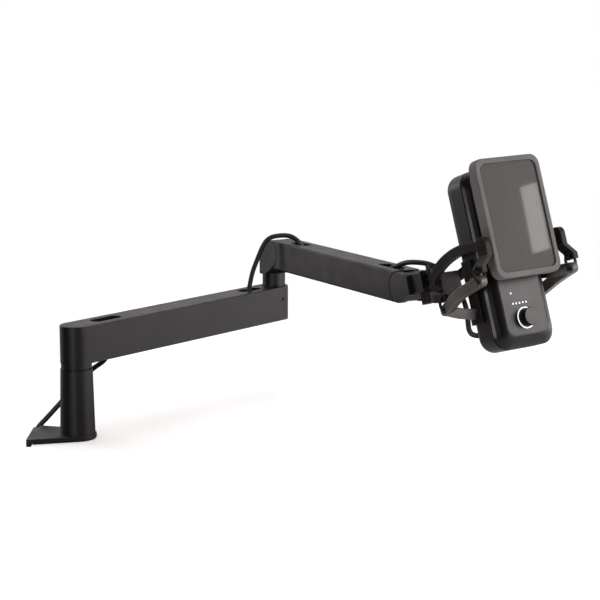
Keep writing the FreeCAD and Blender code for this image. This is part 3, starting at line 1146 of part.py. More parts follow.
def make_plug():
    """Plug in the microphone's socket, with its moulded strain relief."""
    face = REAR_DEPTH + SEAT_GAP
    body_end = face + PLUG_LENGTH
    body = rounded_block(PLUG_HALF_X, PORT_UP - PLUG_HALF_Z, PORT_UP + PLUG_HALF_Z,
                         PLUG_HALF_Z - PLUG_EDGE, face, body_end)
    tip = rounded_block(PLUG_TIP_HALF_X, PORT_UP - PLUG_TIP_HALF_Z, PORT_UP + PLUG_TIP_HALF_Z,
                        PLUG_TIP_HALF_Z / 2, face - PLUG_TIP, face)
    relief = Part.makeCone(RELIEF_R, CORD_R, RELIEF_LENGTH, V(0, body_end, PORT_UP), V(0, 1, 0))
    write("usb_plug", MIC, fuse(body, tip, relief))
    exit_point = MIC.multVec(V(0, body_end + RELIEF_LENGTH, PORT_UP))
    print("cord leaves the plug at", [round(c, 2) for c in exit_point])


def coil_point(turn):
    """Point of the wound lead after so many turns, spiralling in and out layer by layer."""
    cycle = COIL_LAYER_TURNS + COIL_CLIMB_TURNS
    layer = min(int(turn / cycle), COIL_LAYERS - 1)
    within = turn - layer * cycle
    wound = min(within, COIL_LAYER_TURNS)
    climb = max(within - COIL_LAYER_TURNS, 0) / COIL_CLIMB_TURNS
    inward = wound if layer % 2 == 0 else COIL_LAYER_TURNS - wound
    radius = COIL_OUTER_R - COIL_PITCH * inward
    x = COIL_X - COIL_PITCH * (layer + climb)
    angle = -2 * math.pi * turn
    return V(x, COIL_Y + radius * math.cos(angle), COIL_Z + radius * math.sin(angle))


def coil_heading(turn):
    """Direction of the wound lead, taken over a short step each way."""
    step = COIL_STEP_TURNS / 8
    return (coil_point(turn + step) - coil_point(turn - step)).normalize()


def make_coil():
    """Put-away length of the lead in a tied coil, with the plug on its end."""
    turns = COIL_LAYERS * COIL_LAYER_TURNS + (COIL_LAYERS - 1) * COIL_CLIMB_TURNS
    steps = round(turns / COIL_STEP_TURNS)
    stops = [k * COIL_STEP_TURNS for k in range(steps + 1)]
    points = [coil_point(t) for t in stops]
    headings = [coil_heading(t) for t in stops]
    headings[0] = headings[-1] = V(0, 0, -1)
    edges = [Part.makeLine(points[0] - headings[0] * CORD_D, points[0])]
    for k in range(steps):
        edges += biarc(points[k], headings[k], points[k + 1], headings[k + 1])
    lead_end = points[-1] + headings[-1] * COIL_TAIL
    edges.append(Part.makeLine(points[-1], lead_end))
    wire = Part.Wire(edges)
    tube = round_tube(wire, CORD_R)
    share = tube.Volume / (math.pi * CORD_R ** 2 * wire.Length)
    print(f"cable_coil: length {wire.Length:.1f}, turns {turns}, least self gap {self_gap(wire):.2f}, "
          f"share {share:.4f}")
    write("cable_coil", DESK, tube)
    make_tie()
    make_far_plug(lead_end)


def self_gap(wire):
    """Least clear distance between parts of a wound tube that are not neighbours along it."""
    points = wire.discretize(Distance=CORD_R)
    apart = math.ceil(2 * math.pi * CORD_R)
    least = math.inf
    for index, point in enumerate(points):
        for other in points[index + apart:]:
            least = min(least, point.distanceToPoint(other))
    return least - CORD_D


def make_tie():
    """Strap round the coil's lowest part."""
    x0 = COIL_X - COIL_PITCH * (COIL_LAYERS - 1) - CORD_R - TIE_ROOM
    x1 = COIL_X + CORD_R + TIE_ROOM
    low = COIL_Z - COIL_OUTER_R - CORD_R - TIE_ROOM
    high = COIL_Z - COIL_OUTER_R + COIL_PITCH * COIL_LAYER_TURNS + CORD_R + TIE_ROOM
    half = TIE_WIDTH / 2
    outer = box(x0 - TIE_THICK, x1 + TIE_THICK, COIL_Y - half, COIL_Y + half, low - TIE_THICK,
                high + TIE_THICK)
    inner = box(x0, x1, COIL_Y - TIE_WIDTH, COIL_Y + TIE_WIDTH, low, high)
    write("cable_tie", DESK, outer.cut(inner))


def make_far_plug(lead_end):
    """Plug on the free end of the lead."""
    foot = -FAR_PLUG_LENGTH
    body = box(-FAR_PLUG_HALF_X, FAR_PLUG_HALF_X, -FAR_PLUG_HALF_Y, FAR_PLUG_HALF_Y, foot, 0)
    body = rounded_at(body, PLUG_EDGE, lambda p: True)
    shell = box(-FAR_SHELL_HALF_X, FAR_SHELL_HALF_X, -FAR_SHELL_HALF_Y, FAR_SHELL_HALF_Y,
                foot - FAR_SHELL_LENGTH, foot + CUT_PAST)
    write("far_plug", frame((lead_end.x, lead_end.y, lead_end.z)), fuse(body, shell))


def make_cords():
    """Stretches of the lead from the desk to the microphone, one for each joint that it crosses."""
    routes = {
        "cable_drop": DROP_ROUTE, "cable_lower": LOWER_ROUTE, "cable_upper": UPPER_ROUTE,
        "cable_wrist": WRIST_ROUTE, "cable_swivel": SWIVEL_ROUTE, "cable_tail": TAIL_ROUTE,
    }
    for name, route in routes.items():
        write(name, DESK, cord(name, route))


make_clamp()
make_column()
make_lower_arm()
make_elbow()
make_upper_arm()
make_wrist()
make_swivel()
make_yoke()
make_cradle()
make_elastic_bands()
make_rear_housing()
make_front_housing()
make_dial()
make_capsule()
make_pop_filter()
make_plug()
make_coil()
make_cords()
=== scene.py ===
"""Looks of the desk boom arm with its microphone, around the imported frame. Metres, in the frame's axes."""
import json
import math

import bmesh
import bpy
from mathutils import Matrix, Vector


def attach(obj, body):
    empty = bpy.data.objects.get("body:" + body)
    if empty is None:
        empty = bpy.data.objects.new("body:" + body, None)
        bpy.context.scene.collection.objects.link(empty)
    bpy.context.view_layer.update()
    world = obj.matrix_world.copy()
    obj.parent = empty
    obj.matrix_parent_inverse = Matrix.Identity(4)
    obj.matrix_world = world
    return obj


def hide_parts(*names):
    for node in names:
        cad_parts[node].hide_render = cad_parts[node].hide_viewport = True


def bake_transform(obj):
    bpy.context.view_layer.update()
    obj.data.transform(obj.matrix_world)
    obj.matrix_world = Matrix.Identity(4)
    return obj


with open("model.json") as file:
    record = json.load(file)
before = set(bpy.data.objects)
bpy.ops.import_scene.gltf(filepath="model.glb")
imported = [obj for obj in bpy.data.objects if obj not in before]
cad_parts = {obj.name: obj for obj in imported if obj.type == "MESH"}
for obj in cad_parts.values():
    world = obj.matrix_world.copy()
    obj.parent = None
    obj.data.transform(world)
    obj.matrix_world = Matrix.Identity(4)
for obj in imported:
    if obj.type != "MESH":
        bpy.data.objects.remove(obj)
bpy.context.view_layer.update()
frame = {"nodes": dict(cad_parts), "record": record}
nodes = frame["nodes"]

# The microphone's own frame: x across its front, y to its back, z up its height.
MIC_ORIGIN = Vector((0.395308, -0.129898, 0.114209))
MIC_X = Vector((0.817719, 0.575086, 0.024742))
MIC_Y = Vector((-0.538822, 0.779861, -0.318572))
MIC_Z = Vector((-0.202501, 0.247171, 0.947576))

# Camera, fitted to the photographed edges: place, degrees below level, lens and sensor in millimetres.
CAMERA_AT = (0.2056, -1.6210, 0.4109)
CAMERA_DOWN = 9.85
CAMERA_LENS = 108.0
CAMERA_SENSOR = 36.0

# Light, a little warm.
LIGHT_COLOUR = (1.0, 0.955, 0.945)
# Soft boxes: name, place, size, watts and the point that each one is aimed at.
SOFT_BOXES = (
    ("top_box", (0.1, 0.35, 1.5), (1.5, 1.2), 9.0, (0.2, 0.05, 0.1)),
    ("right_box", (1.40, -0.30, 0.46), (0.8, 0.9), 12.0, (0.4, -0.1, 0.16)),
    ("right_strip", (1.10, 0.30, 0.10), (0.5, 0.16), 0.9, (0.15, 0.1, 0.08)),
    ("front_box", (-0.40, -1.40, 0.30), (0.4, 0.5), 5.5, (0.35, -0.1, 0.12)),
    ("left_strip", (-0.9, 0.6, 0.35), (0.3, 0.8), 2.2, (0.3, 0.0, 0.15)),
)
# Narrow box that the filter's mesh mirrors: place, size, watts and its turn in degrees.
WINDOW_AT = (1.2301, -0.2624, 0.529)
WINDOW_SIZE = (0.0235, 0.1348)
WINDOW_POWER = 0.27
WINDOW_TURN = (118.56, 8.74, 81.79)

# Studio round the part: where its colours change in height and depth, and those colours from low to high.
STUDIO_HEIGHT = (-0.25, 0.5)
STUDIO_DEPTH = (-0.15, 0.7)
STUDIO_FRONT_STOPS = (0.2, 1.0)
STUDIO_FRONT = ((0.012, 0.0115, 0.0115), (0.08, 0.076, 0.075))
STUDIO_REAR_STOPS = (0.0, 0.6)
STUDIO_REAR = ((0.16, 0.152, 0.15), (0.78, 0.74, 0.73))

# Desk: outline with the cut round the clamp's spine, underside and thickness.
DESK_OUTLINE = (
    (-0.16, -0.75), (0.95, -0.75), (0.95, 0.9), (-0.0388, 0.9), (-0.0388, -0.034), (-0.16, -0.034),
)
DESK_UNDER = -0.0339
DESK_THICKNESS = 0.0338
DESK_ROUGH = 0.8
DESK_LEVEL = 0.1
DESK_GRAIN = 300.0
DESK_WHITES = ((0.90, 0.90, 0.90), (0.94, 0.94, 0.94))
DESK_GLOW = 0.42
# The desk as the part mirrors it: darker at the column, paler under the microphone.
DESK_MIRROR_X = (0.0, 0.45)
DESK_MIRROR = ((0.15, 0.15, 0.15), (0.8, 0.8, 0.8))

# Cord: diameter, steps between control points and round the section, and the put-away coil.
CORD_D = 0.0048
CORD_SMOOTH = 12
CORD_ROUND = 5
COIL_CENTRE = (-0.0485, 0.008, -0.120)
COIL_OUTER_R = 0.0314
COIL_PITCH = 0.006
COIL_LAYERS = 4
COIL_LAYER_TURNS = 1.375
COIL_CLIMB_TURNS = 0.5
COIL_TURN_POINTS = 16
COIL_TAIL = 0.026
# Control points of the lead's stretches, in millimetres.
MILLIMETRES = 1000
ROUTES = {
    "drop": [
        (24.955, 31.261, 76.0), (24.405, 31.086, 69.6), (20.3, 32.0, 64.6), (11.8, 33.4, 59.0),
        (0.5, 35.0, 48.0), (-11.5, 36.0, 35.0), (-22.5, 35.6, 22.5), (-32.5, 33.4, 11.5), (-42.0, 30.6, 2.0),
        (-48.4, 29.6, -10.5), (-50.4, 31.0, -27.0), (-49.8, 33.7, -46.0), (-48.7, 37.0, -65.0),
        (-48.5, 38.9, -82.0), (-48.5, 39.4, -99.0), (-48.5, 39.4, -115.2),
    ],
    "lower": [
        (24.955, 31.261, 76.0), (25.642, 31.48, 84.0), (30.1, 35.5, 92.0), (38.7, 44.6, 96.5),
        (54.9, 63.7, 94.5), (81.6, 96.1, 91.0), (113.7, 137.0, 89.5), (135.2, 165.9, 91.0),
        (146.3, 181.3, 95.0), (152.1, 189.5, 101.5), (154.2, 192.5, 111.0), (157.0, 191.6, 125.0),
        (162.2, 190.1, 138.5), (164.5, 189.55, 144.25),
    ],
    "upper": [
        (164.5, 189.55, 144.25), (166.8, 189.0, 150.0), (171.3, 187.9, 158.2), (178.275, 186.262, 162.878),
        (194.0, 182.645, 164.45), (202.3, 179.6, 160.4), (206.8, 173.6, 155.4), (211.3, 166.3, 150.6),
        (218.8, 154.5, 147.6), (231.1, 133.9, 146.4), (250.3, 101.0, 146.0), (267.9, 69.6, 146.3),
        (277.4, 52.0, 147.6), (283.1, 41.5, 149.6),
    ],
    "wrist": [
        (283.1, 41.5, 149.6), (287.2, 33.947, 151.039), (292.6, 25.6, 155.4), (299.0, 15.8, 160.4),
        (305.6, 7.0, 163.6), (312.5, -0.5, 164.3),
    ],
    "swivel": [
        (312.5, -0.5, 164.3), (317.2, -5.609, 164.777), (323.6, -8.4, 163.7), (330.4, -10.6, 160.6),
        (334.8, -13.9, 156.4), (337.9, -17.9, 152.3), (340.6, -21.6, 149.2),
    ],
    "tail": [
        (340.6, -21.6, 149.2), (344.38, -26.78, 144.86), (348.9, -34.5, 140.6), (351.9, -43.6, 135.4),
        (353.2, -53.4, 129.2), (353.5, -62.1, 121.8), (353.7, -68.7, 114.6), (356.5, -74.7, 110.9),
        (360.64, -80.5, 111.86),
    ],
}

# Elastic loops in the microphone's frame: radius of the thread, half the loop's width, steps of each end and
# of the section, and for the front and the rear pair the distance from the middle and both ends in y and z.
BAND_R = 0.0013
BAND_REACH = 0.0054
BAND_END_STEPS = 14
BAND_ROUND_STEPS = 12
BAND_ENDS = (
    (0.051, (-0.022, 0.0604), (-0.022, 0.0626)),
    (0.050, (0.031, 0.0454), (0.031, 0.0476)),
)

# Noise: the range that most of its values lie in, and scales in cycles a metre.
NOISE_LOW, NOISE_HIGH = 0.3, 0.7
SHADE_SCALE = 22.0
GLOSS_SCALE = 60.0
BLACK, HALF, WHITE = (0, 0, 0), (0.5, 0.5, 0.5), (1, 1, 1)

# Edges: how far the rounded normal leans from the flat one where an edge starts and is full, as a cosine.
EDGE_START, EDGE_FULL = 0.985, 0.8
EDGE_SAMPLES = 4
EDGE_PATCHY = (0.35, 1.0)
GRAIN_STRENGTH = 0.35

# Filter mesh: slant and unevenness of its threads, shades of its colour, depth and gloss.
MESH_SLANT = 0.5
MESH_WOBBLE = (-0.5, 0.5)
MESH_WOBBLE_SCALE = 90.0
MESH_SHADE_SCALE = 24.0
MESH_SHADES = (0.92, 1.08)
MESH_GAP_SHADE = 0.62
MESH_STRENGTH = 0.15
MESH_DEPTH = 0.0002
MESH_LEVEL = 0.06
MESH_COAT = 0.15
MESH_COAT_ROUGH = 0.03

# Dial: cosine to the microphone's front where its cap starts and is full, its grain, gloss and levels.
CAP_START, CAP_FULL = 0.7, 0.95
CAP_GRAIN = 2400.0
CAP_SHADES = (0.85, 1.15)
CAP_GLOSS_SCALE = 120.0
CAP_LEVELS = (0.08, 0.4)

# Light guide: scale of its cloud, colours unlit and lit, and roughness.
GUIDE_SCALE = 700.0
GUIDE_UNLIT = ((0.80, 0.81, 0.82), (0.90, 0.90, 0.90))
GUIDE_LIT = ((0.93, 0.95, 1.0), (1.0, 1.0, 1.0))
GUIDE_ROUGH = (0.3, 0.4)


def mic(x, y, z):
    """Point given in the microphone's frame, in the frame's axes."""
    return MIC_ORIGIN + MIC_X * x + MIC_Y * y + MIC_Z * z


def link_object(name, data):
    made = bpy.data.objects.new(name, data)
    bpy.context.scene.collection.objects.link(made)
    return made


# Materials.

def new_material(name):
    material = bpy.data.materials.new(name)
    material.use_nodes = True
    tree = material.node_tree
    tree.nodes.clear()
    out = tree.nodes.new("ShaderNodeOutputMaterial")
    shader = tree.nodes.new("ShaderNodeBsdfPrincipled")
    tree.links.new(shader.outputs["BSDF"], out.inputs["Surface"])
    return material, tree, shader


def add(tree, kind, **values):
    node = tree.nodes.new(kind)
    for key, value in values.items():
        if key in node.inputs:
            node.inputs[key].default_value = value
        else:
            setattr(node, key, value)
    return node


def noise(tree, coords, scale, detail=3.0, stretch=(1, 1, 1)):
    """Noise over the object's own coordinates, in cycles a metre."""
    mapping = add(tree, "ShaderNodeMapping", Scale=stretch)
    tree.links.new(coords.outputs["Object"], mapping.inputs["Vector"])
    node = add(tree, "ShaderNodeTexNoise", Scale=scale, Detail=detail)
    tree.links.new(mapping.outputs["Vector"], node.inputs["Vector"])
    return node.outputs["Fac"]


def ramp(tree, fac, low, high, colours):
    """Colour from the first to the second, where the factor goes from low to high."""
    node = add(tree, "ShaderNodeValToRGB")
    node.color_ramp.elements[0].position = low
    node.color_ramp.elements[1].position = high
    for element, colour in zip(node.color_ramp.elements, colours):
        element.color = (*colour, 1)
    tree.links.new(fac, node.inputs["Fac"])
    return node.outputs["Color"]


def mix(tree, fac, a, b):
    """Colour between two colours or sockets."""
    node = add(tree, "ShaderNodeMix", data_type="RGBA")
    tree.links.new(fac, node.inputs["Factor"])
    for socket, value in ((6, a), (7, b)):
        if isinstance(value, tuple):
            node.inputs[socket].default_value = (*value, 1)
        else:
            tree.links.new(value, node.inputs[socket])
    return node.outputs[2]


def remap(tree, value, start, end, low=0.0, high=1.0):
    """Value from low to high, where the given one goes from start to end."""
    span = {"From Min": start, "From Max": end, "To Min": low, "To Max": high}
    node = add(tree, "ShaderNodeMapRange", **span)
    tree.links.new(value, node.inputs["Value"])
    return node.outputs["Result"]


def spread(tree, fac, low, high):
    """Noise as a value that goes from low to high."""
    return remap(tree, fac, NOISE_LOW, NOISE_HIGH, low, high)


def product(tree, a, b):
    node = add(tree, "ShaderNodeMath", operation="MULTIPLY")
    tree.links.new(a, node.inputs[0])
    tree.links.new(b, node.inputs[1])
    return node.outputs["Value"]


def scaled(colour, share):
    return tuple(c * share for c in colour)


def edge_mask(tree, radius):
    """White along edges sharper than the radius, black on flats, with the rounded normal behind it."""
    bevel = add(tree, "ShaderNodeBevel", Radius=radius, samples=EDGE_SAMPLES)
    geometry = add(tree, "ShaderNodeNewGeometry")
    dot = add(tree, "ShaderNodeVectorMath", operation="DOT_PRODUCT")
    tree.links.new(bevel.outputs["Normal"], dot.inputs[0])
    tree.links.new(geometry.outputs["Normal"], dot.inputs[1])
    return remap(tree, dot.outputs["Value"], EDGE_START, EDGE_FULL), bevel.outputs["Normal"]


def finish(name, colour, rough, grain, bump, metallic=0.0, wear_and_highlight=1.6, shade=0.25, level=0.5, edge=0.0004,
           stretch=(1, 1, 1)):
    """Moulded, coated or machined finish: fine grain, broad shade, edges lightened partly as wear and partly
    as a painted highlight, and uneven gloss.
    """
    material, tree, shader = new_material(name)
    coords = add(tree, "ShaderNodeTexCoord")
    fine = noise(tree, coords, grain, 2.0, stretch)
    broad = noise(tree, coords, SHADE_SCALE, 4.0)
    dark = scaled(colour, 1 - shade)
    light = scaled(colour, 1 + shade)
    base = mix(tree, ramp(tree, broad, NOISE_LOW, NOISE_HIGH, (BLACK, WHITE)), dark, light)
    speck = mix(tree, ramp(tree, fine, 0.35, 0.75, (BLACK, HALF)), base, light)
    mask, rounded = edge_mask(tree, edge)
    wear_and_highlight_mask = product(tree, mask, spread(tree, broad, *EDGE_PATCHY))
    # Edges lightened here: partly wear, partly a painted highlight along the edges.
    tree.links.new(mix(tree, wear_and_highlight_mask, speck, scaled(light, wear_and_highlight)), shader.inputs["Base Color"])
    tree.links.new(spread(tree, noise(tree, coords, GLOSS_SCALE), *rough), shader.inputs["Roughness"])
    node = add(tree, "ShaderNodeBump", Strength=GRAIN_STRENGTH, Distance=bump)
    tree.links.new(fine, node.inputs["Height"])
    tree.links.new(rounded, node.inputs["Normal"])
    tree.links.new(node.outputs["Normal"], shader.inputs["Normal"])
    shader.inputs["Metallic"].default_value = metallic
    shader.inputs["Specular IOR Level"].default_value = level
    return material


def along_axis(tree, source, axis):
    """How far this vector lies along an axis."""
    dot = add(tree, "ShaderNodeVectorMath", operation="DOT_PRODUCT")
    tree.links.new(source, dot.inputs[0])
    dot.inputs[1].default_value = axis
    return dot.outputs["Value"]


def woven(name, colour, pitch, rough):
    """Fine black mesh: threads on two crossed slants of the microphone's front, a little uneven."""
    material, tree, shader = new_material(name)
    coords = add(tree, "ShaderNodeTexCoord")
    wobble = noise(tree, coords, MESH_WOBBLE_SCALE, 2.0)
    threads = []
    for axis in (MIC_X + MIC_Z * MESH_SLANT, MIC_Z - MIC_X * MESH_SLANT):
        phase = add(tree, "ShaderNodeMath", operation="MULTIPLY_ADD")
        tree.links.new(along_axis(tree, coords.outputs["Object"], axis), phase.inputs[0])
        phase.inputs[1].default_value = 2 * math.pi / pitch
        tree.links.new(spread(tree, wobble, *MESH_WOBBLE), phase.inputs[2])
        wave = add(tree, "ShaderNodeMath", operation="SINE")
        tree.links.new(phase.outputs["Value"], wave.inputs[0])
        threads.append(wave.outputs["Value"])
    height = remap(tree, product(tree, *threads), -1.0, 1.0)
    weave = ramp(tree, height, 0.1, 0.9, (BLACK, WHITE))
    dark, light = (scaled(colour, share) for share in MESH_SHADES)
    broad = mix(tree, noise(tree, coords, MESH_SHADE_SCALE), dark, light)
    tree.links.new(mix(tree, weave, scaled(colour, MESH_GAP_SHADE), broad), shader.inputs["Base Color"])
    tree.links.new(spread(tree, wobble, *rough), shader.inputs["Roughness"])
    bump = add(tree, "ShaderNodeBump", Strength=MESH_STRENGTH, Distance=MESH_DEPTH)
    tree.links.new(weave, bump.inputs["Height"])
    tree.links.new(bump.outputs["Normal"], shader.inputs["Normal"])
    shader.inputs["Specular IOR Level"].default_value = MESH_LEVEL
    shader.inputs["Coat Weight"].default_value = MESH_COAT
    shader.inputs["Coat Roughness"].default_value = MESH_COAT_ROUGH
    return material


def capped(name, cap, shaded_wall, rough):
    """Turned knob of the microphone: a satin cap and a wall painted near black, as painted shade on the
    knob's side.
    """
    material, tree, shader = new_material(name)
    coords = add(tree, "ShaderNodeTexCoord")
    facing = remap(tree, along_axis(tree, coords.outputs["Normal"], -MIC_Y), CAP_START, CAP_FULL)
    dark, light = (scaled(cap, share) for share in CAP_SHADES)
    top = mix(tree, noise(tree, coords, CAP_GRAIN, 2.0), dark, light)
    # Near-black wall: painted shade on the side of the knob.
    tree.links.new(mix(tree, facing, shaded_wall, top), shader.inputs["Base Color"])
    tree.links.new(spread(tree, noise(tree, coords, CAP_GLOSS_SCALE), *rough), shader.inputs["Roughness"])
    tree.links.new(remap(tree, facing, 0.0, 1.0, *CAP_LEVELS), shader.inputs["Specular IOR Level"])
    return material


def dark_inside(material, node, near, far, share):
    """Darkens a finish towards the microphone's middle plane, where its own parts keep the light away."""
    tree = material.node_tree
    shader = next(n for n in tree.nodes if n.type == "BSDF_PRINCIPLED")
    colour = shader.inputs["Base Color"].links[0].from_socket
    inverse = node.matrix_world.inverted()
    coords = add(tree, "ShaderNodeTexCoord")
    local = add(tree, "ShaderNodeVectorMath", operation="SUBTRACT")
    tree.links.new(coords.outputs["Object"], local.inputs[0])
    local.inputs[1].default_value = inverse @ MIC_ORIGIN
    out = add(tree, "ShaderNodeMath", operation="ABSOLUTE")
    tree.links.new(along_axis(tree, local.outputs["Vector"], inverse.to_3x3() @ MIC_X), out.inputs[0])
    scale = remap(tree, out.outputs["Value"], near, far, low=share)
    dim = add(tree, "ShaderNodeVectorMath", operation="SCALE")
    tree.links.new(colour, dim.inputs[0])
    tree.links.new(scale, dim.inputs["Scale"])
    tree.links.new(dim.outputs["Vector"], shader.inputs["Base Color"])
    level = add(tree, "ShaderNodeMath", operation="MULTIPLY")
    level.inputs[0].default_value = shader.inputs["Specular IOR Level"].default_value
    tree.links.new(scale, level.inputs[1])
    tree.links.new(level.outputs["Value"], shader.inputs["Specular IOR Level"])


def lit(name, strength):
    """White light guide with a light behind it, a little cloudy."""
    material, tree, shader = new_material(name)
    cloud = noise(tree, add(tree, "ShaderNodeTexCoord"), GUIDE_SCALE)
    tree.links.new(ramp(tree, cloud, NOISE_LOW, NOISE_HIGH, GUIDE_UNLIT), shader.inputs["Base Color"])
    tree.links.new(ramp(tree, cloud, 0.2, 0.8, GUIDE_LIT), shader.inputs["Emission Color"])
    tree.links.new(spread(tree, cloud, *GUIDE_ROUGH), shader.inputs["Roughness"])
    shader.inputs["Emission Strength"].default_value = strength
    return material


# Each finish: colour, range of roughness, grain in cycles a metre and its depth in metres.
MATERIALS = {
    "black_aluminium": finish("powder_coat", (0.0052, 0.0047, 0.0046), (0.38, 0.48), 2600.0, 0.00005),
    "black_steel": finish("powder_coat_steel", (0.006, 0.0056, 0.0054), (0.42, 0.54), 2200.0, 0.00007),
    "bright_steel": finish("turned_steel", (0.50, 0.50, 0.51), (0.22, 0.36), 900.0, 0.00003,
                           metallic=1.0, wear_and_highlight=1.1, shade=0.12, stretch=(1, 1, 9)),
    "dark_steel": finish("black_oxide", (0.035, 0.035, 0.037), (0.30, 0.42), 1400.0, 0.00003, metallic=0.6),
    # Moulded black with its edges painted far lighter: a painted highlight along the mount's edges.
    "black_plastic": finish("moulded_black", (0.0095, 0.0080, 0.0073), (0.36, 0.46), 3200.0, 0.00004,
                            wear_and_highlight=10.0, level=0.14, edge=0.0016),
    "grey_plastic": finish("moulded_charcoal", (0.020, 0.0193, 0.0188), (0.40, 0.50), 3000.0, 0.00004,
                           level=0.40),
    "mesh": woven("filter_mesh", (0.066, 0.0615, 0.060), 0.0026, (0.30, 0.40)),
    "rubber": finish("rubber", (0.012, 0.012, 0.012), (0.60, 0.75), 1800.0, 0.0001, level=0.3),
    "cord": finish("cord_jacket", (0.012, 0.012, 0.0122), (0.38, 0.50), 1500.0, 0.00005, edge=0.0002,
                   level=0.4),
    "bearing": finish("bearing_bronze", (0.45, 0.31, 0.14), (0.30, 0.42), 800.0, 0.00003, metallic=1.0,
                      wear_and_highlight=1.1, shade=0.15),
    "board": finish("solder_resist", (0.012, 0.07, 0.035), (0.28, 0.36), 700.0, 0.00003),
    "light": lit("light_guide", 0.9),
}
# Pieces that differ from the rest of their slot.
OWN_FINISH = {
    # Cradle: black plastic painted lighter as a painted highlight on its wings, with its edges painted
    # lighter too; below, painted shade darkens it towards the middle.
    "cradle": finish("cradle_painted_light", (0.075, 0.069, 0.065), (0.34, 0.44), 3000.0, 0.00004, wear_and_highlight=2.5,
                     level=0.6, edge=0.0016),
    "front_housing": finish("front_black", (0.0045, 0.0040, 0.0039), (0.28, 0.36), 3000.0, 0.00003,
                            level=0.36),
    "rear_housing": finish("rear_black", (0.011, 0.0092, 0.0090), (0.32, 0.42), 3000.0, 0.00003, level=0.6),
    "pop_filter_frame": finish("frame_charcoal", (0.150, 0.146, 0.144), (0.44, 0.54), 3000.0, 0.00004,
                               level=0.12),
    "gain_dial": capped("dial_black", (0.022, 0.0215, 0.021), (0.004, 0.004, 0.004), (0.36, 0.46)),
}
for subpart in frame["record"]["subparts"]:
    node_name = subpart["node"]
    slots = nodes[node_name].data.materials
    slots.clear()
    slots.append(OWN_FINISH.get(node_name, MATERIALS[subpart["material_slot"]]))
# Painted shade on the cradle towards the microphone's middle, where its own parts keep the light away.
dark_inside(OWN_FINISH["cradle"], nodes["cradle"], near=0.037, far=0.043, share=0.15)


# Cords.

def nurbs(name, points, depth=0.0):
    """Curve object with one smooth open spline on these control points."""
    curve = bpy.data.curves.new(name, "CURVE")
    curve.dimensions = "3D"
    curve.resolution_u = CORD_SMOOTH
    curve.bevel_depth = depth
    curve.bevel_resolution = CORD_ROUND
    curve.use_fill_caps = True
    spline = curve.splines.new("NURBS")
    spline.points.add(len(points) - 1)
    for place, point in zip(spline.points, points):
        place.co = (*point, 1)
    spline.order_u = 3
    spline.use_endpoint_u = True
    return link_object(name, curve)


def mesh_of(curve_object):
    """Mesh of a curve object, which is then removed."""
    bpy.context.view_layer.update()
    shown = curve_object.evaluated_get(bpy.context.evaluated_depsgraph_get())
    mesh = bpy.data.meshes.new_from_object(shown)
    bpy.data.objects.remove(curve_object)
    return mesh


def line_of(points):
    """Points along the smooth spline of these control points, and its length."""
    mesh = mesh_of(nurbs("guide", points))
    line = [v.co.copy() for v in mesh.vertices]
    bpy.data.meshes.remove(mesh)
    return line, sum((b - a).length for a, b in zip(line, line[1:]))


def tube(name, points):
    """Mesh tube round the smooth spline of these control points."""
    mesh = mesh_of(nurbs(name + "_guide", points, CORD_D / 2))
    mesh.polygons.foreach_set("use_smooth", [True] * len(mesh.polygons))
    mesh.materials.clear()
    mesh.materials.append(MATERIALS["cord"])
    return link_object(name, mesh)


def coil_points():
    """Control points of the put-away coil: four layers that spiral in and out, with straight leads."""
    cycle = COIL_LAYER_TURNS + COIL_CLIMB_TURNS
    turns = COIL_LAYERS * cycle - COIL_CLIMB_TURNS
    steps = round(turns * COIL_TURN_POINTS)
    points = []
    for k in range(steps + 1):
        turn = turns * k / steps
        layer = min(int(turn / cycle), COIL_LAYERS - 1)
        within = turn - layer * cycle
        wound = min(within, COIL_LAYER_TURNS)
        climb = max(within - COIL_LAYER_TURNS, 0) / COIL_CLIMB_TURNS
        inward = wound if layer % 2 == 0 else COIL_LAYER_TURNS - wound
        radius = COIL_OUTER_R - COIL_PITCH * inward
        angle = -2 * math.pi * turn
        points.append(Vector((
            COIL_CENTRE[0] - COIL_PITCH * (layer + climb),
            COIL_CENTRE[1] + radius * math.cos(angle),
            COIL_CENTRE[2] + radius * math.sin(angle),
        )))
    down = Vector((0, 0, -1))
    return [points[0] - down * CORD_D] + points + [points[-1] + down * COIL_TAIL]


def make_lead():
    """Stretches of the lead along the arm, each a tube in place of the frame's cable piece of that name,
    which is hidden.
    """
    for stretch, route in ROUTES.items():
        points = [Vector(p) / MILLIMETRES for p in route]
        line, length = line_of(points)
        piece = tube("lead_" + stretch, points)
        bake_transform(piece)
        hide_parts("cable_" + stretch)


def make_coil():
    """Rest of the lead, coiled and tied under the desk."""
    points = coil_points()
    length = line_of(points)[1]
    coil = nurbs("lead_coil", points, CORD_D / 2)
    coil.data.materials.append(MATERIALS["cord"])
    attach(coil, "base")
    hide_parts("cable_coil")


make_lead()
make_coil()


# Elastic bands.

def add_loop(build, a, b):
    """Round elastic loop over the hooks at two points, across the microphone's width."""
    along, across = (b - a).normalized(), MIC_X
    path = []
    for centre, turn in ((b, 0.0), (a, math.pi)):
        for k in range(BAND_END_STEPS + 1):
            angle = turn + math.pi * k / BAND_END_STEPS
            path.append(centre + (across * math.cos(angle) + along * math.sin(angle)) * BAND_REACH)
    normal = along.cross(across)
    rings = []
    for k, point in enumerate(path):
        heading = (path[(k + 1) % len(path)] - path[k - 1]).normalized()
        out = normal.cross(heading)
        rings.append([
            build.verts.new(point + (normal * math.cos(t) + out * math.sin(t)) * BAND_R)
            for t in (2 * math.pi * j / BAND_ROUND_STEPS for j in range(BAND_ROUND_STEPS))
        ])
    for k, ring in enumerate(rings):
        after = rings[(k + 1) % len(rings)]
        for j in range(BAND_ROUND_STEPS):
            n = (j + 1) % BAND_ROUND_STEPS
            build.faces.new((ring[j], ring[n], after[n], after[j])).smooth = True


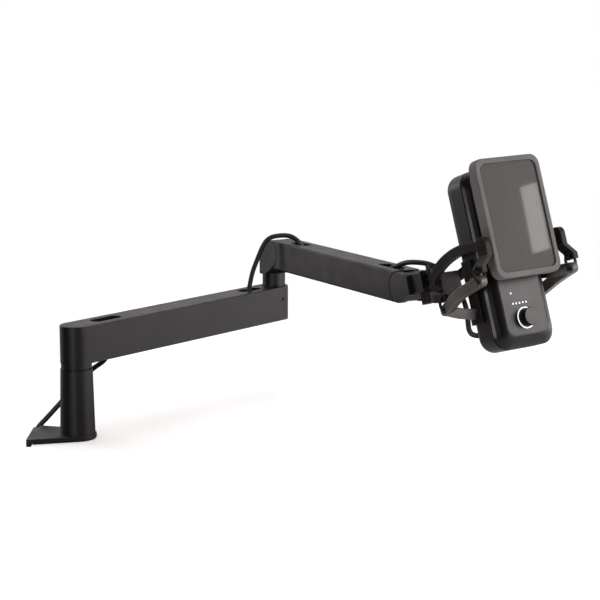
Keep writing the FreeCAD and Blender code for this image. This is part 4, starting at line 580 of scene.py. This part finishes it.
def make_bands():
    """Four elastic loops over the hooks of the yoke and the cradle."""
    build = bmesh.new()
    for side in (-1, 1):
        for x, (y0, z0), (y1, z1) in BAND_ENDS:
            add_loop(build, mic(side * x, y0, z0), mic(side * x, y1, z1))
    bmesh.ops.recalc_face_normals(build, faces=build.faces)
    mesh = bpy.data.meshes.new("elastic_loops")
    build.to_mesh(mesh)
    build.free()
    mesh.materials.append(MATERIALS["rubber"])
    loops = link_object("elastic_loops", mesh)
    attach(loops, "microphone")
    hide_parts("elastic_bands")


make_bands()


# Stage, light and camera.

def make_world():
    """White where the camera sees it. Elsewhere a studio: bright above and behind, dim in front."""
    world = bpy.data.worlds.new("studio")
    bpy.context.scene.world = world
    world.use_nodes = True
    tree = world.node_tree
    tree.nodes.clear()
    out = add(tree, "ShaderNodeOutputWorld")
    coords = add(tree, "ShaderNodeTexCoord")
    parts = add(tree, "ShaderNodeSeparateXYZ")
    tree.links.new(coords.outputs["Generated"], parts.inputs["Vector"])
    height = remap(tree, parts.outputs["Z"], *STUDIO_HEIGHT)
    depth = remap(tree, parts.outputs["Y"], *STUDIO_DEPTH)
    front = ramp(tree, height, *STUDIO_FRONT_STOPS, STUDIO_FRONT)
    rear = ramp(tree, height, *STUDIO_REAR_STOPS, STUDIO_REAR)
    soft = add(tree, "ShaderNodeBackground")
    tree.links.new(mix(tree, depth, front, rear), soft.inputs["Color"])
    white = add(tree, "ShaderNodeBackground", Color=(1, 1, 1, 1), Strength=1.0)
    path = add(tree, "ShaderNodeLightPath")
    both = add(tree, "ShaderNodeMixShader")
    tree.links.new(path.outputs["Is Camera Ray"], both.inputs["Fac"])
    tree.links.new(soft.outputs["Background"], both.inputs[1])
    tree.links.new(white.outputs["Background"], both.inputs[2])
    tree.links.new(both.outputs["Shader"], out.inputs["Surface"])


def desk_material():
    """Matt white, darker where the part mirrors it and a little brighter to the camera."""
    material, tree, shader = new_material("desk_white")
    shader.inputs["Roughness"].default_value = DESK_ROUGH
    shader.inputs["Specular IOR Level"].default_value = DESK_LEVEL
    coords = add(tree, "ShaderNodeTexCoord")
    white = ramp(tree, noise(tree, coords, DESK_GRAIN), NOISE_LOW, NOISE_HIGH, DESK_WHITES)
    path = add(tree, "ShaderNodeLightPath")
    place = add(tree, "ShaderNodeSeparateXYZ")
    tree.links.new(coords.outputs["Object"], place.inputs["Vector"])
    mirrored = ramp(tree, remap(tree, place.outputs["X"], *DESK_MIRROR_X), 0.0, 1.0, DESK_MIRROR)
    tree.links.new(mix(tree, path.outputs["Is Glossy Ray"], white, mirrored), shader.inputs["Base Color"])
    shader.inputs["Emission Color"].default_value = (1, 1, 1, 1)
    glow = add(tree, "ShaderNodeMath", operation="MULTIPLY")
    tree.links.new(path.outputs["Is Camera Ray"], glow.inputs[0])
    glow.inputs[1].default_value = DESK_GLOW
    tree.links.new(glow.outputs["Value"], shader.inputs["Emission Strength"])
    return material


def make_desk():
    """Pale desk top that the clamp holds, cut back round the clamp's spine. It is the scene's floor."""
    build = bmesh.new()
    face = build.faces.new([build.verts.new((x, y, DESK_UNDER)) for x, y in DESK_OUTLINE])
    raised = bmesh.ops.extrude_face_region(build, geom=[face])["geom"]
    corners = [part for part in raised if isinstance(part, bmesh.types.BMVert)]
    bmesh.ops.translate(build, vec=(0, 0, DESK_THICKNESS), verts=corners)
    bmesh.ops.recalc_face_normals(build, faces=build.faces)
    mesh = bpy.data.meshes.new("desk_top")
    build.to_mesh(mesh)
    build.free()
    mesh.materials.append(desk_material())
    link_object("desk_top", mesh)


def area_light(name, at, size, power):
    """Soft box, still to be turned."""
    data = bpy.data.lights.new(name, "AREA")
    data.shape = "RECTANGLE"
    data.size, data.size_y = size
    data.energy = power
    data.color = LIGHT_COLOUR
    lamp = link_object(name, data)
    lamp.location = at
    return lamp


def make_lights():
    for name, at, size, power, aim in SOFT_BOXES:
        lamp = area_light(name, at, size, power)
        lamp.rotation_euler = (Vector(aim) - Vector(at)).to_track_quat("-Z", "Y").to_euler()
    window = area_light("window_strip", WINDOW_AT, WINDOW_SIZE, WINDOW_POWER)
    window.rotation_euler = [math.radians(angle) for angle in WINDOW_TURN]


def make_camera():
    data = bpy.data.cameras.new("camera")
    data.lens = CAMERA_LENS
    data.sensor_width = CAMERA_SENSOR
    camera = link_object("camera", data)
    camera.location = CAMERA_AT
    camera.rotation_euler = (math.radians(90 - CAMERA_DOWN), 0, 0)
    bpy.context.scene.camera = camera


make_world()
make_desk()
make_lights()
make_camera()
bpy.context.scene.view_settings.view_transform = "Standard"
